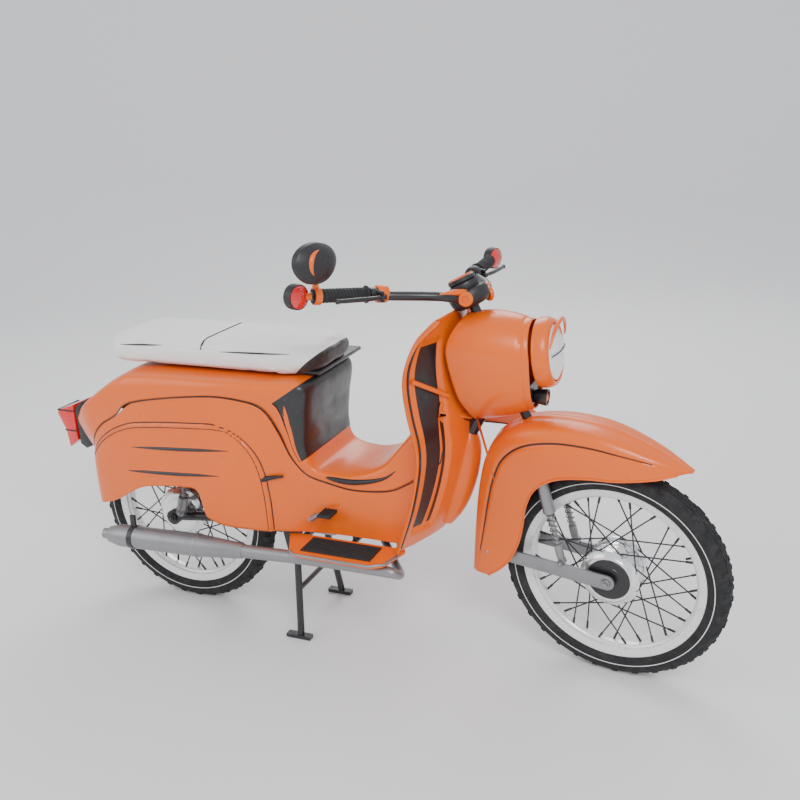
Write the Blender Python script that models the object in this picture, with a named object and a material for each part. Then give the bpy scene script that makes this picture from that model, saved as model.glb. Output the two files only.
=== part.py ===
"""A step-through moped scooter as an assembly of separate pieces.

Metres, +X forward, +Y left, +Z up. Pieces are modelled about the point on the ground midway
between the axles, and a parent empty then shifts them so that the origin is below the middle.
"""

import math

import bmesh
import bpy
from mathutils import Matrix, Vector

# Driving dimensions.
WHEELBASE = 1.200
TYRE_RADIUS = 0.272
TYRE_HALF_WIDTH = 0.036
RIM_RADIUS = 0.2145
HUB_RADIUS = 0.064
HUB_HALF_WIDTH = 0.050
SPOKE_COUNT = 36
WHEEL_SEGMENTS = 28
MIDPOINT_X = 0.060
MIDPOINT_Y = -0.0393
SEAT_LENGTH = 0.655
BODY_HALF_WIDTH = 0.168
TUNNEL_HALF_WIDTH = 0.118
SHIELD_HALF_WIDTH = 0.205
FLOOR_HEIGHT = 0.310
FLOOR_HALF_WIDTH = 0.235
FENDER_HALF_WIDTH = 0.075
BAR_HALF_WIDTH = 0.330
BAR_RADIUS = 0.011
HEADLIGHT_RADIUS = 0.077
STAND_HALF_WIDTH = 0.125

# Steering geometry and how the steering is parked.
RAKE = math.radians(26)
HEAD = Vector((0.305, 0, 0.800))
STEER_AXIS = Vector((-math.sin(RAKE), 0, math.cos(RAKE)))
PARKED_STEER = math.radians(-8)
BAR_TURN = math.radians(-18)
BAR_ROLL = math.radians(-2.5)
LEVELLED = Matrix.Rotation(BAR_TURN, 3, "Z") @ Matrix.Rotation(BAR_ROLL, 3, "X")
BAR_SET = (Matrix.Rotation(PARKED_STEER, 3, STEER_AXIS).inverted() @ LEVELLED).to_quaternion()
BAR_UPRIGHT = BAR_SET.inverted() @ STEER_AXIS

# Fits and walls.
GAP = 0.0004
PIN_PLAY = 0.0006
SHEET = 0.0025
PIN = 0.006
SHIELD_SHEET = 0.003
SHIELD_CLEARANCE = 0.003
ROLLED_EDGE = 0.018

FRONT_AXLE = Vector((WHEELBASE / 2, 0, TYRE_RADIUS))
REAR_AXLE = Vector((-WHEELBASE / 2, 0, TYRE_RADIUS))
LINK_PIVOT = Vector((0.300, 0, TYRE_RADIUS + 0.020))
SWING_PIVOT = Vector((-0.270, 0, TYRE_RADIUS + 0.030))
FRONT_EYE = FRONT_AXLE + Vector((-0.112, 0, 0.026))
FRONT_STRUT_TOP = Vector((0.428, 0, 0.550))
REAR_EYE = REAR_AXLE + Vector((0.040, 0, 0.030))
REAR_STRUT_TOP = REAR_EYE + Vector((0.070, 0, 0.283))
STAND_PIVOT = Vector((-0.215, 0, 0.250))
SEAT_HINGE = Vector((-0.118, 0, 0.724))
Y = Vector((0, 1, 0))
Z = Vector((0, 0, 1))


def along(x):
    """A place along the body. Behind the seat tower it moves with the rear axle."""
    tower = -0.140
    reach = (REAR_AXLE.x - tower) / (-0.600 - tower)
    return tower + (x - tower) * reach if x < tower else x



ORANGE = ((1.0, 0.145, 0.0), 0.30, 0.0)
BLACK_METAL = ((0.02, 0.02, 0.022), 0.45, 0.5)
RUBBER = ((0.018, 0.018, 0.018), 0.85, 0.0)
GREY_METAL = ((0.36, 0.36, 0.37), 0.42, 0.8)
ALLOY = ((0.78, 0.79, 0.80), 0.25, 0.95)
WHITE_RIM = ((0.86, 0.86, 0.86), 0.30, 0.4)
WHITE_VINYL = ((0.88, 0.87, 0.85), 0.55, 0.0)
RED_LENS = ((0.75, 0.01, 0.01), 0.15, 0.0)
CLEAR_GLASS = ((0.92, 0.94, 0.95), 0.08, 0.0)
CAST_ALLOY = ((0.45, 0.46, 0.47), 0.55, 0.85)


def clear_scene():
    for obj in list(bpy.data.objects):
        bpy.data.objects.remove(obj)


# Shapes, each a closed bmesh in vehicle coordinates.


def bridge(bm, rings, wrap=False):
    """Quads between neighbouring rings of as many points, with the two end rings filled unless they wrap."""
    made = [[bm.verts.new(point) for point in ring] for ring in rings]
    count = len(made[0])
    pairs = list(zip(made, made[1:]))
    if wrap:
        pairs.append((made[-1], made[0]))
    for low, high in pairs:
        for i in range(count):
            j = (i + 1) % count
            bm.faces.new((low[i], low[j], high[j], high[i]))
    if not wrap:
        bm.faces.new(made[0][::-1])
        bm.faces.new(made[-1])
    bmesh.ops.recalc_face_normals(bm, faces=bm.faces)
    return bm


def loft(rings, wrap=False):
    return bridge(bmesh.new(), rings, wrap)


def across(direction):
    """Two unit vectors square to the direction and to each other."""
    direction = direction.normalized()
    side = direction.cross(Z if abs(direction.z) < 0.9 else Y).normalized()
    return side, side.cross(direction)


def circle(centre, side, up, radius, sides, start=0.0):
    turn = 2 * math.pi / sides
    return [
        centre + radius * (math.cos(start + turn * i) * side + math.sin(start + turn * i) * up)
        for i in range(sides)
    ]


def sweep(points, radii, sides=8):
    """A round tube through the points, with one radius for each or one for all."""
    points = [Vector(point) for point in points]
    if not isinstance(radii, (list, tuple)):
        radii = [radii] * len(points)
    rings = []
    side = None
    for i, point in enumerate(points):
        before = points[max(i - 1, 0)]
        after = points[min(i + 1, len(points) - 1)]
        ahead = (after - before).normalized()
        if side is None:
            side, up = across(ahead)
        side = (side - ahead * side.dot(ahead)).normalized()
        up = side.cross(ahead)
        rings.append(circle(point, side, up, radii[i], sides))
    return loft(rings)


def turned(profile, centre, axis=Y, segments=24):
    """A solid of revolution from a closed profile of (distance along the axis, radius) points."""
    side, up = across(Vector(axis))
    axis = Vector(axis).normalized()
    rings = []
    for i in range(segments):
        angle = 2 * math.pi * i / segments - math.pi / 2
        out = math.cos(angle) * side + math.sin(angle) * up
        rings.append([Vector(centre) + along * axis + radius * out for along, radius in profile])
    return loft(rings, wrap=True)


def spindle(profile, centre, axis=Y, segments=16):
    """A solid of revolution from rings of (distance along the axis, radius), closed flat at both ends."""
    side, up = across(Vector(axis))
    axis = Vector(axis).normalized()
    return loft([circle(Vector(centre) + a * axis, side, up, r, segments) for a, r in profile])


def rod(start, end, radius, sides=10):
    return sweep([start, end], radius, sides)


def prism(outline, low_y, high_y):
    """An outline of (x, z) points drawn out between two sides."""
    return loft([[Vector((x, y, z)) for x, z in outline] for y in (low_y, high_y)])


def block(low, high):
    outline = [(low[0], low[2]), (high[0], low[2]), (high[0], high[2]), (low[0], high[2])]
    return prism(outline, low[1], high[1])


def mirrored(bm):
    """The same shape on the other side of the vehicle."""
    copy = bm.copy()
    bmesh.ops.scale(copy, vec=(1, -1, 1), verts=copy.verts)
    bmesh.ops.reverse_faces(copy, faces=copy.faces)
    return copy


def combined(base, operation, tools):
    """The base after a Boolean with each tool in turn."""
    for tool in tools:
        target = loose_object("target", base)
        other = loose_object("tool", tool)
        modifier = target.modifiers.new("combine", "BOOLEAN")
        modifier.operation = operation
        modifier.object = other
        graph = bpy.context.evaluated_depsgraph_get()
        base = bmesh.new()
        base.from_object(target, graph)
        for used in (target, other):
            mesh = used.data
            bpy.data.objects.remove(used)
            bpy.data.meshes.remove(mesh)
    return base


def loose_object(name, bm):
    mesh = bpy.data.meshes.new(name)
    bm.to_mesh(mesh)
    bm.free()
    obj = bpy.data.objects.new(name, mesh)
    bpy.context.scene.collection.objects.link(obj)
    return obj


def fused(*shapes):
    return combined(shapes[0], "UNION", shapes[1:])


def cut(base, *tools):
    return combined(base, "DIFFERENCE", tools)


def sheet(rows, thickness=SHEET):
    """A thin closed panel whose outer face is a grid of points, thickened inwards along its normals."""
    bm = bmesh.new()
    grid = [[bm.verts.new(point) for point in row] for row in rows]
    for row, following in zip(grid, grid[1:]):
        for i in range(len(row) - 1):
            bm.faces.new((row[i], row[i + 1], following[i + 1], following[i]))
    bm.normal_update()
    outer = [vert for row in grid for vert in row]
    inner = {vert: bm.verts.new(vert.co - vert.normal * thickness) for vert in outer}
    faces = list(bm.faces)
    rim = [edge for edge in bm.edges if edge.is_boundary]
    for face in faces:
        bm.faces.new([inner[vert] for vert in reversed(face.verts)])
    for edge in rim:
        a, b = edge.verts
        bm.faces.new((a, b, inner[b], inner[a]))
    bmesh.ops.recalc_face_normals(bm, faces=bm.faces)
    return bm


def value_at(stations, position):
    """The value at a position, from straight lines between (position, value) stations."""
    for (x0, v0), (x1, v1) in zip(stations, stations[1:]):
        if position <= x1:
            share = max(0.0, (position - x0) / (x1 - x0))
            return v0 + share * (v1 - v0)
    return stations[-1][1]


# Pivots and finished objects.

PIVOTS = {}


def pivot(name, point, parent=None, turn=0.0, axis=Z):
    """An empty on a joint's axis, turned from straight ahead about that axis."""
    empty = bpy.data.objects.new(name, None)
    bpy.context.scene.collection.objects.link(empty)
    empty.empty_display_size = 0.05
    point = Vector(point)
    empty.parent = PIVOTS[parent][0] if parent else None
    empty.location = point - (PIVOTS[parent][1] if parent else Vector())
    empty.rotation_euler = Matrix.Rotation(turn, 3, axis).to_euler()
    PIVOTS[name] = (empty, point)


def material(name, look):
    colour, roughness, metallic = look
    made = bpy.data.materials.new(name)
    made.use_nodes = True
    shader = made.node_tree.nodes["Principled BSDF"]
    shader.inputs["Base Color"].default_value = (*colour, 1.0)
    shader.inputs["Roughness"].default_value = roughness
    shader.inputs["Metallic"].default_value = metallic
    made.diffuse_color = (*colour, 1.0)
    return made


def piece(name, shape, look, hung_on="vehicle"):
    """One named object, with its origin at its pivot."""
    empty, point = PIVOTS[hung_on]
    bmesh.ops.translate(shape, vec=-point, verts=shape.verts)
    obj = loose_object(name, shape)
    obj.data.name = name
    obj.parent = empty
    obj.data.materials.append(material(name, look))
    obj.data.shade_smooth()
    obj.data.set_sharp_from_angle(angle=math.radians(35))
    return obj


def both_sides(name, shape, look, hung_on="vehicle"):
    """A right-hand piece and its left-hand copy."""
    other = mirrored(shape)
    hung = hung_on if isinstance(hung_on, tuple) else (hung_on, hung_on)
    piece(name + "_right", shape, look, hung[0])
    piece(name + "_left", other, look, hung[1])


# Wheels.


def tyre_shape(centre):
    """A hollow tyre: an outer and an inner arch that meet in two beads inside the rim flanges."""
    outer = [(0.0210, -0.0610), (0.0210, -0.0565), (0.0345, -0.0420), (0.0340, -0.0200), (0.0195, -0.0040)]
    inner = [(0.0150, -0.0600), (0.0285, -0.0380), (0.0200, -0.0130)]
    width = TYRE_HALF_WIDTH / 0.036
    half = [(y * width, TYRE_RADIUS + depth) for y, depth in outer]
    lining = [(y * width, TYRE_RADIUS + depth) for y, depth in inner]
    profile = half + [(0, TYRE_RADIUS)] + [(-y, r) for y, r in reversed(half)]
    profile += [(-y, r) for y, r in lining] + list(reversed(lining))
    return turned(profile, centre, segments=WHEEL_SEGMENTS)


def rim_shape(centre):
    """A channel rim whose flanges hold the tyre beads."""
    flange = TYRE_HALF_WIDTH / 0.036 * 0.0210 + GAP
    outer = [(flange, RIM_RADIUS), (flange, 0.2085), (0.0100, 0.2010)]
    under = [(flange + 0.002, RIM_RADIUS), (flange + 0.002, 0.2065), (0.0110, 0.1975)]
    profile = [(-y, r) for y, r in outer] + outer[::-1] + under + [(-y, r) for y, r in reversed(under)]
    return turned(profile, centre, segments=WHEEL_SEGMENTS)


def hub_shape(centre, open_side):
    """A full-width drum: a bored hub whose open side holds the brake."""
    half = HUB_HALF_WIDTH
    bore = PIN + 0.0025
    profile = [
        (-half, bore), (-half, 0.020), (-half + 0.006, 0.022), (-half + 0.006, 0.050),
        (-half, 0.054), (-half, HUB_RADIUS + 0.002), (-half + 0.006, HUB_RADIUS + 0.006),
        (-half + 0.016, HUB_RADIUS + 0.006), (-half + 0.020, HUB_RADIUS),
        (half - 0.020, HUB_RADIUS), (half - 0.016, HUB_RADIUS + 0.006), (half - 0.006, HUB_RADIUS + 0.006),
        (half - 0.004, HUB_RADIUS + 0.002), (half - 0.004, HUB_RADIUS - 0.004),
        (-half + 0.020, HUB_RADIUS - 0.006), (-half + 0.020, 0.018), (-half + 0.040, 0.016),
        (-half + 0.040, bore),
    ]
    return turned([(y * open_side, r) for y, r in profile], centre, segments=20)


def spoke_shape(centre):
    """All the spokes of a wheel, crossing each other, joined by the ring that their nipples stand in."""
    rim = 0.1952
    flange = HUB_RADIUS + 0.0090
    outline = [(-0.010, 0.1942), (0.010, 0.1942), (0.009, 0.1972), (-0.009, 0.1970)]
    ring = turned(outline, centre, segments=WHEEL_SEGMENTS)
    sweep_angle = math.radians(52)
    spokes = bmesh.new()
    for i in range(SPOKE_COUNT):
        side = 1 if i % 2 else -1
        lean = 1 if (i // 2) % 2 else -1
        angle = 2 * math.pi * (i + 0.5) / SPOKE_COUNT
        start = angle + lean * sweep_angle
        depth = HUB_HALF_WIDTH - (0.008 if lean > 0 else 0.013)
        inner = centre + Vector((flange * math.cos(start), side * depth, flange * math.sin(start)))
        outer = centre + Vector((rim * math.cos(angle), side * 0.005, rim * math.sin(angle)))
        ring_side, ring_up = across(outer - inner)
        ends = [circle(point, ring_side, ring_up, 0.0019, 3) for point in (inner, outer)]
        bridge(spokes, ends)
    return combined(ring, "UNION", [spokes])


def brake_plate_shape(centre, side):
    """The plate that closes the drum's open side, with the brake lever's boss."""
    edge = HUB_RADIUS - 0.0065
    mouth = HUB_HALF_WIDTH - 0.009
    profile = [
        (mouth, PIN + PIN_PLAY), (mouth, edge), (mouth + 0.008, edge),
        (mouth + 0.010, edge - 0.010), (mouth + 0.009, 0.012), (mouth + 0.0115, 0.012),
        (mouth + 0.0115, PIN + PIN_PLAY),
    ]
    return turned([(y * side, r) for y, r in profile], centre, segments=18)


def wheel(prefix, centre, spin, carrier, brake_side):
    piece(prefix + "_tyre", tyre_shape(centre), RUBBER, spin)
    piece(prefix + "_rim", rim_shape(centre), WHITE_RIM, spin)
    piece(prefix + "_hub", hub_shape(centre, brake_side), ALLOY, spin)
    piece(prefix + "_spokes", spoke_shape(centre), BLACK_METAL, spin)
    piece(prefix + "_brake_plate", brake_plate_shape(centre, brake_side), CAST_ALLOY, carrier)


def axle_shape(centre, half_length):
    """An axle with a nut at each end."""
    nut = 0.010
    profile = [
        (-half_length, nut), (-half_length + 0.008, nut), (-half_length + 0.0081, PIN),
        (half_length - 0.0081, PIN), (half_length - 0.008, nut), (half_length, nut),
    ]
    return spindle(profile, centre, segments=12)


# Front suspension.

LEG_Y = 0.040
ARM_Y = HUB_HALF_WIDTH + 0.0085
ARM_HALF = 0.0035
FRONT_STRUT_Y = 0.0525
REAR_ARM_Y = 0.068
REAR_STRUT_Y = 0.092


def steering_point(height):
    """The point of the steering axis at a height."""
    return HEAD + STEER_AXIS * ((height - HEAD.z) / STEER_AXIS.z)


def fork_shape():
    """Steering tube, crown, two legs down to the link's pivot, and two ears for the struts."""
    crown = steering_point(0.585)
    shapes = [rod(crown - STEER_AXIS * 0.012, steering_point(0.904), 0.012, 12)]
    shapes.append(rod(crown - Y * 0.058, crown + Y * 0.058, 0.014))
    for side in (-1, 1):
        knee = crown + Vector((-0.004, side * LEG_Y, -0.010))
        foot = LINK_PIVOT + Y * side * LEG_Y
        shapes.append(sweep([knee, (knee + foot) / 2 + Vector((-0.008, 0, 0)), foot], 0.011, 8))
        ear = FRONT_STRUT_TOP + Y * side * FRONT_STRUT_Y
        shapes.append(sweep([crown + Y * side * 0.050, ear + Vector((-0.004, 0, 0.022)), ear], 0.007, 8))
    shapes.append(rod(LINK_PIVOT - Y * 0.052, LINK_PIVOT + Y * 0.052, 0.0125, 12))
    bore = rod(LINK_PIVOT - Y * 0.08, LINK_PIVOT + Y * 0.08, PIN + PIN_PLAY, 12)
    return cut(fused(*shapes), bore)


def arm_outline(start, end, start_radius, end_radius, low=0.0):
    """A link plate's outline in x and z: a round boss at each end, with straight edges between them."""
    along = (end - start).normalized()
    angle = math.atan2(along.z, along.x)
    points = []
    for i in range(5):
        turn = angle - math.pi / 2 + math.pi * i / 4
        points.append((end.x + end_radius * math.cos(turn), end.z + end_radius * math.sin(turn)))
    for i in range(5):
        turn = angle + math.pi / 2 + math.pi * i / 4
        points.append((start.x + start_radius * math.cos(turn), start.z + start_radius * math.sin(turn)))
    if low:
        middle = start.lerp(end, 0.55)
        points.append((middle.x, middle.z - low))
    return points


def link_shape():
    """The leading link: an arm on each side, the pin that joins them, and the axle clamped in their ends."""
    outline = arm_outline(LINK_PIVOT, FRONT_AXLE, 0.015, 0.017, low=0.030)
    shapes = [rod(LINK_PIVOT - Y * (ARM_Y + 0.004), LINK_PIVOT + Y * (ARM_Y + 0.004), PIN, 12)]
    for side in (-1, 1):
        low, high = sorted((side * (ARM_Y - ARM_HALF), side * (ARM_Y + ARM_HALF)))
        shapes.append(prism(outline, low, high))
        pin_end = FRONT_EYE + Y * side * (FRONT_STRUT_Y - 0.009)
        shapes.append(rod(pin_end, FRONT_EYE + Y * side * ARM_Y, 0.005))
    shapes.append(axle_shape(FRONT_AXLE, ARM_Y + ARM_HALF + 0.0085))
    return fused(*shapes)


def strut_cover_shape(top, eye, side_y, radius, length):
    """The upper part of a spring-and-damper unit: a cup that is open below, with a mounting eye."""
    top = top + Y * side_y
    eye = eye + Y * side_y
    down = (eye - top).normalized()
    profile = [
        (0.004, 0.0015), (0.012, radius * 0.75), (0.022, radius), (length, radius),
        (length, radius - 0.002), (0.026, radius - 0.002), (0.024, 0.0015),
    ]
    return turned(profile, top, down, segments=14)


def strut_slider_shape(top, eye, side_y, radius, length, spring_radius, boss_y):
    """The lower part of a unit: a rod that slides in the cover, a tube, and an eye round the pin."""
    centre = eye + Y * math.copysign(boss_y, side_y)
    top = top + Y * side_y
    eye = eye + Y * side_y
    down = (eye - top).normalized()
    total = (eye - top).length
    start = total * 0.42
    profile = [
        (start, spring_radius), (length + 0.012, spring_radius), (length + 0.020, radius),
        (total - 0.004, radius),
    ]
    boss = rod(centre - Y * 0.006, centre + Y * 0.006, 0.0115, 12)
    bore = rod(centre - Y * 0.02, centre + Y * 0.02, 0.0075, 12)
    return cut(fused(spindle(profile, top, down, 12), boss), bore)


def front_suspension():
    piece("fork", fork_shape(), BLACK_METAL, "steering")
    piece("front_link", link_shape(), GREY_METAL, "front_link_pivot")
    for name, side in (("right", -1), ("left", 1)):
        hung = "front_strut_top_" + name
        cover = strut_cover_shape(FRONT_STRUT_TOP, FRONT_EYE, side * FRONT_STRUT_Y, 0.0135, 0.135)
        piece("front_strut_cover_" + name, cover, GREY_METAL, hung)
        slider = strut_slider_shape(
            FRONT_STRUT_TOP, FRONT_EYE, side * FRONT_STRUT_Y, 0.006, 0.135, 0.0108, 0.0485,
        )
        piece("front_strut_slider_" + name, slider, GREY_METAL, hung)


def rear_suspension():
    piece("swing_arm", swing_arm_shape(), BLACK_METAL, "swing_pivot")
    for name, side in (("right", -1), ("left", 1)):
        hung = "rear_strut_top_" + name
        cover = strut_cover_shape(REAR_STRUT_TOP, REAR_EYE, side * REAR_STRUT_Y, 0.021, 0.170)
        piece("rear_strut_cover_" + name, cover, BLACK_METAL, hung)
        slider = strut_slider_shape(
            REAR_STRUT_TOP, REAR_EYE, side * REAR_STRUT_Y, 0.010, 0.170, 0.018, REAR_STRUT_Y,
        )
        piece("rear_strut_slider_" + name, slider, BLACK_METAL, hung)


def swing_arm_shape():
    """Two arms from the pivot tube to the rear axle clamped in their ends, with the pins for the struts."""
    shapes = [rod(SWING_PIVOT - Y * (REAR_ARM_Y + 0.008), SWING_PIVOT + Y * (REAR_ARM_Y + 0.008), 0.013, 12)]
    outline = arm_outline(SWING_PIVOT, REAR_AXLE, 0.016, 0.018)
    for side in (-1, 1):
        low, high = sorted((side * (REAR_ARM_Y - 0.006), side * (REAR_ARM_Y + 0.006)))
        shapes.append(prism(outline, low, high))
        tab = arm_outline(REAR_EYE, REAR_AXLE + Vector((0.02, 0, 0)), 0.011, 0.012)
        shapes.append(prism(tab, low, high))
        pin_end = REAR_EYE + Y * side * (REAR_STRUT_Y + 0.010)
        shapes.append(rod(REAR_EYE + Y * side * REAR_ARM_Y, pin_end, 0.005))
    pivot_bore = rod(SWING_PIVOT - Y * 0.09, SWING_PIVOT + Y * 0.09, PIN + PIN_PLAY, 12)
    shapes.append(axle_shape(REAR_AXLE, REAR_ARM_Y + 0.0145))
    return cut(fused(*shapes), pivot_bore)


# Frame, stand and power unit.

RAIL_Y = 0.095
RAIL_Z = 0.338


DOWN_TUBE_RADIUS = 0.019


def down_tube_path():
    """The frame's big tube, from the head tube down to the front of the floor."""
    start = steering_point(0.74) + Vector((-0.010, 0, 0))
    return [start, Vector((0.215, 0, 0.530)), Vector((0.160, 0, 0.410)), Vector((0.115, 0, 0.345))]


def frame_shape():
    """Head tube, down tube, two floor rails, two seat rails, cross tubes and the brackets for the pivots."""
    head_low = steering_point(0.665)
    head_high = steering_point(0.855)
    fork_low = Vector((0.115, 0, 0.345))
    shapes = [rod(head_low, head_high, 0.023, 14)]
    shapes.append(sweep(down_tube_path(), DOWN_TUBE_RADIUS, 10))
    shapes.append(rod(fork_low - Y * RAIL_Y, fork_low + Y * RAIL_Y, 0.012))
    for side in (-1, 1):
        floor = Vector((fork_low.x, side * RAIL_Y, fork_low.z))
        back = Vector((-0.235, side * RAIL_Y, RAIL_Z))
        knee = Vector((-0.300, side * RAIL_Y, 0.400))
        bend = Vector((-0.340, side * 0.115, 0.560))
        tail = Vector((along(-0.420), side * 0.122, 0.600))
        end = Vector((along(-0.690), side * 0.112, 0.600))
        shapes.append(sweep([floor, back, knee, bend, tail, end], 0.011, 6))
        strut_pin = REAR_STRUT_TOP + Vector((0, side * (REAR_STRUT_Y + 0.010), 0.004))
        shapes.append(rod(strut_pin, strut_pin + Vector((0, side * 0.016, 0.010)), 0.0055))
        bracket = [(-0.250, 0.335), (-0.175, 0.335), (-0.200, 0.236), (-0.230, 0.236)]
        low, high = sorted((side * RAIL_Y, side * (RAIL_Y + 0.005)))
        shapes.append(prism(bracket, low, high))
        ear = [(-0.300, 0.380), (-0.235, 0.335), (-0.250, 0.285), (-0.290, 0.285)]
        low, high = sorted((side * (RAIL_Y - 0.008), side * (RAIL_Y - 0.003)))
        shapes.append(prism(ear, low, high))
    for x, z, half in ((along(-0.420), 0.600, 0.122), (along(-0.690), 0.600, 0.112)):
        shapes.append(rod(Vector((x, -half, z)), Vector((x, half, z)), 0.010))
    swing_pin = rod(SWING_PIVOT - Y * RAIL_Y, SWING_PIVOT + Y * RAIL_Y, PIN)
    for x in (0.085, -0.036):
        shapes.append(rod(Vector((x, -0.170, 0.2935)), Vector((x, 0.170, 0.2935)), 0.0075))
        for side in (-1, 1):
            shapes.append(rod(Vector((x, side * RAIL_Y, 0.294)), Vector((x, side * RAIL_Y, 0.340)), 0.006))
    shapes.append(swing_pin)
    bore = rod(steering_point(0.60), steering_point(0.90), 0.0132, 14)
    stand_bore = rod(STAND_PIVOT - Y * 0.11, STAND_PIVOT + Y * 0.11, 0.0050 + PIN_PLAY, 12)
    return cut(fused(*shapes), bore, stand_bore)


def stand_shape():
    """The centre stand, down: a pivot tube, two splayed legs with foot bars, and a cross tube."""
    tube_half = RAIL_Y - 0.004
    shapes = [rod(STAND_PIVOT - Y * tube_half, STAND_PIVOT + Y * tube_half, 0.010, 10)]
    shapes.append(rod(STAND_PIVOT - Y * (RAIL_Y + 0.008), STAND_PIVOT + Y * (RAIL_Y + 0.008), 0.0050, 10))
    foot_x = STAND_PIVOT.x + 0.018
    for side in (-1, 1):
        top = STAND_PIVOT + Y * side * (tube_half - 0.012)
        shin = Vector((foot_x, side * STAND_HALF_WIDTH, 0.006))
        shapes.append(sweep([top, top.lerp(shin, 0.5), shin], 0.0095, 8))
        low = (foot_x - 0.040, side * STAND_HALF_WIDTH - 0.010, 0.0)
        high = (foot_x + 0.030, side * STAND_HALF_WIDTH + 0.010, 0.010)
        shapes.append(block(low, high))
    brace = STAND_PIVOT + Vector((0.009, 0, -0.120))
    shapes.append(rod(brace - Y * 0.098, brace + Y * 0.098, 0.007))
    return fused(*shapes)


def engine_shape():
    """The crankcase: gearbox, flywheel cover and, on the right, the fan's round inlet."""
    case = [
        (-0.270, 0.350), (-0.262, 0.300), (-0.215, 0.276), (-0.120, 0.276), (-0.062, 0.300),
        (-0.055, 0.400), (-0.085, 0.425), (-0.150, 0.428), (-0.215, 0.420), (-0.262, 0.395),
    ]
    cover = spindle([(-0.062, 0.044), (-0.056, 0.052), (0.056, 0.052), (0.062, 0.044)], FLYWHEEL, Y, 16)
    body = cut(fused(prism(case, -0.052, 0.052), cover), swing_clearance())
    kick_bore = rod(KICK_SHAFT + Y * 0.035, KICK_SHAFT + Y * 0.09, 0.0085, 12)
    gear_bore = rod(GEAR_SHAFT + Y * 0.035, GEAR_SHAFT + Y * 0.09, 0.0075, 12)
    shroud = [
        (-0.060, 0.020), (-0.060, 0.048), (-0.078, 0.046), (-0.082, 0.040), (-0.082, 0.024), (-0.078, 0.020),
    ]
    return fused(cut(body, kick_bore, gear_bore), turned(shroud, FLYWHEEL, Y, 20))


def swing_clearance():
    return rod(SWING_PIVOT - Y * 0.2, SWING_PIVOT + Y * 0.2, 0.019, 12)


KICK_SHAFT = Vector((-0.215, 0, 0.372))
GEAR_SHAFT = Vector((-0.090, 0, 0.372))
BRAKE_SHAFT = Vector((-0.128, 0, 0.366))
FLYWHEEL = Vector((-0.130, 0, 0.352))
CYLINDER_START = Vector((-0.0545, 0, 0.362))


def cylinder_shape():
    """The finned cylinder and head, lying forward."""
    ahead = Vector((1, 0, 0.06))
    profile = [(0.0, 0.012), (0.0, 0.026)]
    for i in range(5):
        start = 0.012 + i * 0.017
        profile += [(start, 0.026), (start, 0.045), (start + 0.005, 0.045), (start + 0.005, 0.026)]
    profile += [(0.100, 0.026), (0.112, 0.018), (0.112, 0.012)]
    body = turned(profile, CYLINDER_START + ahead * GAP, ahead, 12)
    core = rod(CYLINDER_START + ahead * GAP, CYLINDER_START + ahead * 0.110, 0.014, 8)
    return fused(body, core)


def carburettor_shape():
    start = Vector((-0.165, 0.010, 0.4285))
    throat = rod(start + Z * 0.0, start + Z * 0.030, 0.014, 10)
    bowl = block((-0.190, -0.010, 0.450), (-0.140, 0.030, 0.500))
    return fused(throat, bowl)


EXHAUST_Y = -0.200
PIPE_Z = 0.283


def exhaust_pipe_shape():
    """The header pipe: down from the cylinder, out to the right, then back below the footboard."""
    points = [
        (-0.010, 0, 0.3150), (-0.006, -0.004, 0.292), (0.020, -0.030, 0.265), (0.080, -0.110, 0.255),
        (0.115, -0.165, 0.262), (0.112, -0.192, 0.275), (0.085, EXHAUST_Y, PIPE_Z),
        (-0.100, EXHAUST_Y, PIPE_Z), (-0.300, EXHAUST_Y, 0.275),
    ]
    return sweep(points, [0.011] * 6 + [0.012, 0.014, 0.017], 10)


def silencer_shape():
    """The long silencer with its tail pipe."""
    back = Vector((-1, 0, -0.035)).normalized()
    profile = [(0.0, 0.020), (0.120, 0.029), (0.150, 0.031), (0.380, 0.031), (0.420, 0.022), (0.440, 0.014)]
    return spindle(profile, Vector((-0.3005, EXHAUST_Y, 0.275)), back, 18)


def power_unit():
    piece("crankcase", engine_shape(), CAST_ALLOY)
    piece("cylinder", cylinder_shape(), CAST_ALLOY)
    piece("carburettor", carburettor_shape(), CAST_ALLOY)
    piece("exhaust_pipe", exhaust_pipe_shape(), GREY_METAL)
    piece("silencer", silencer_shape(), GREY_METAL)
    piece("kick_lever", kick_lever_shape(), BLACK_METAL, "kick_shaft")
    piece("gear_pedal", gear_pedal_shape(), BLACK_METAL, "gear_shaft")
    piece("chain_case", chain_case_shape(), BLACK_METAL, "swing_pivot")
    piece("rear_sprocket", sprocket_shape(), GREY_METAL, "rear_wheel_spin")


def kick_lever_shape():
    """The kick-starter: a shaft out through the left cover, an arm and a tread."""
    out = BODY_HALF_WIDTH + PANEL_RISE + 0.013
    arm = KICK_SHAFT + Y * out
    heel = arm + Vector((-0.125, 0.004, 0.035))
    shapes = [rod(KICK_SHAFT + Y * 0.040, arm + Y * 0.005, 0.0070)]
    shapes.append(sweep([arm, heel], 0.008, 8))
    shapes.append(rod(heel - Y * 0.004, heel + Y * 0.062, 0.009))
    return fused(*shapes)


def gear_pedal_shape():
    """The gear pedal: a rocker on a shaft out through the left cover, with a tread at each end."""
    arm = GEAR_SHAFT + Y * (TUNNEL_HALF_WIDTH + 0.022)
    front = arm + Vector((0.095, 0.004, 0.006))
    shapes = [rod(GEAR_SHAFT + Y * 0.040, arm + Y * 0.004, 0.0060)]
    shapes.append(rod(arm, front, 0.006))
    shapes.append(rod(front - Y * 0.004, front + Y * 0.055, 0.009))
    return fused(*shapes)


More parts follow.
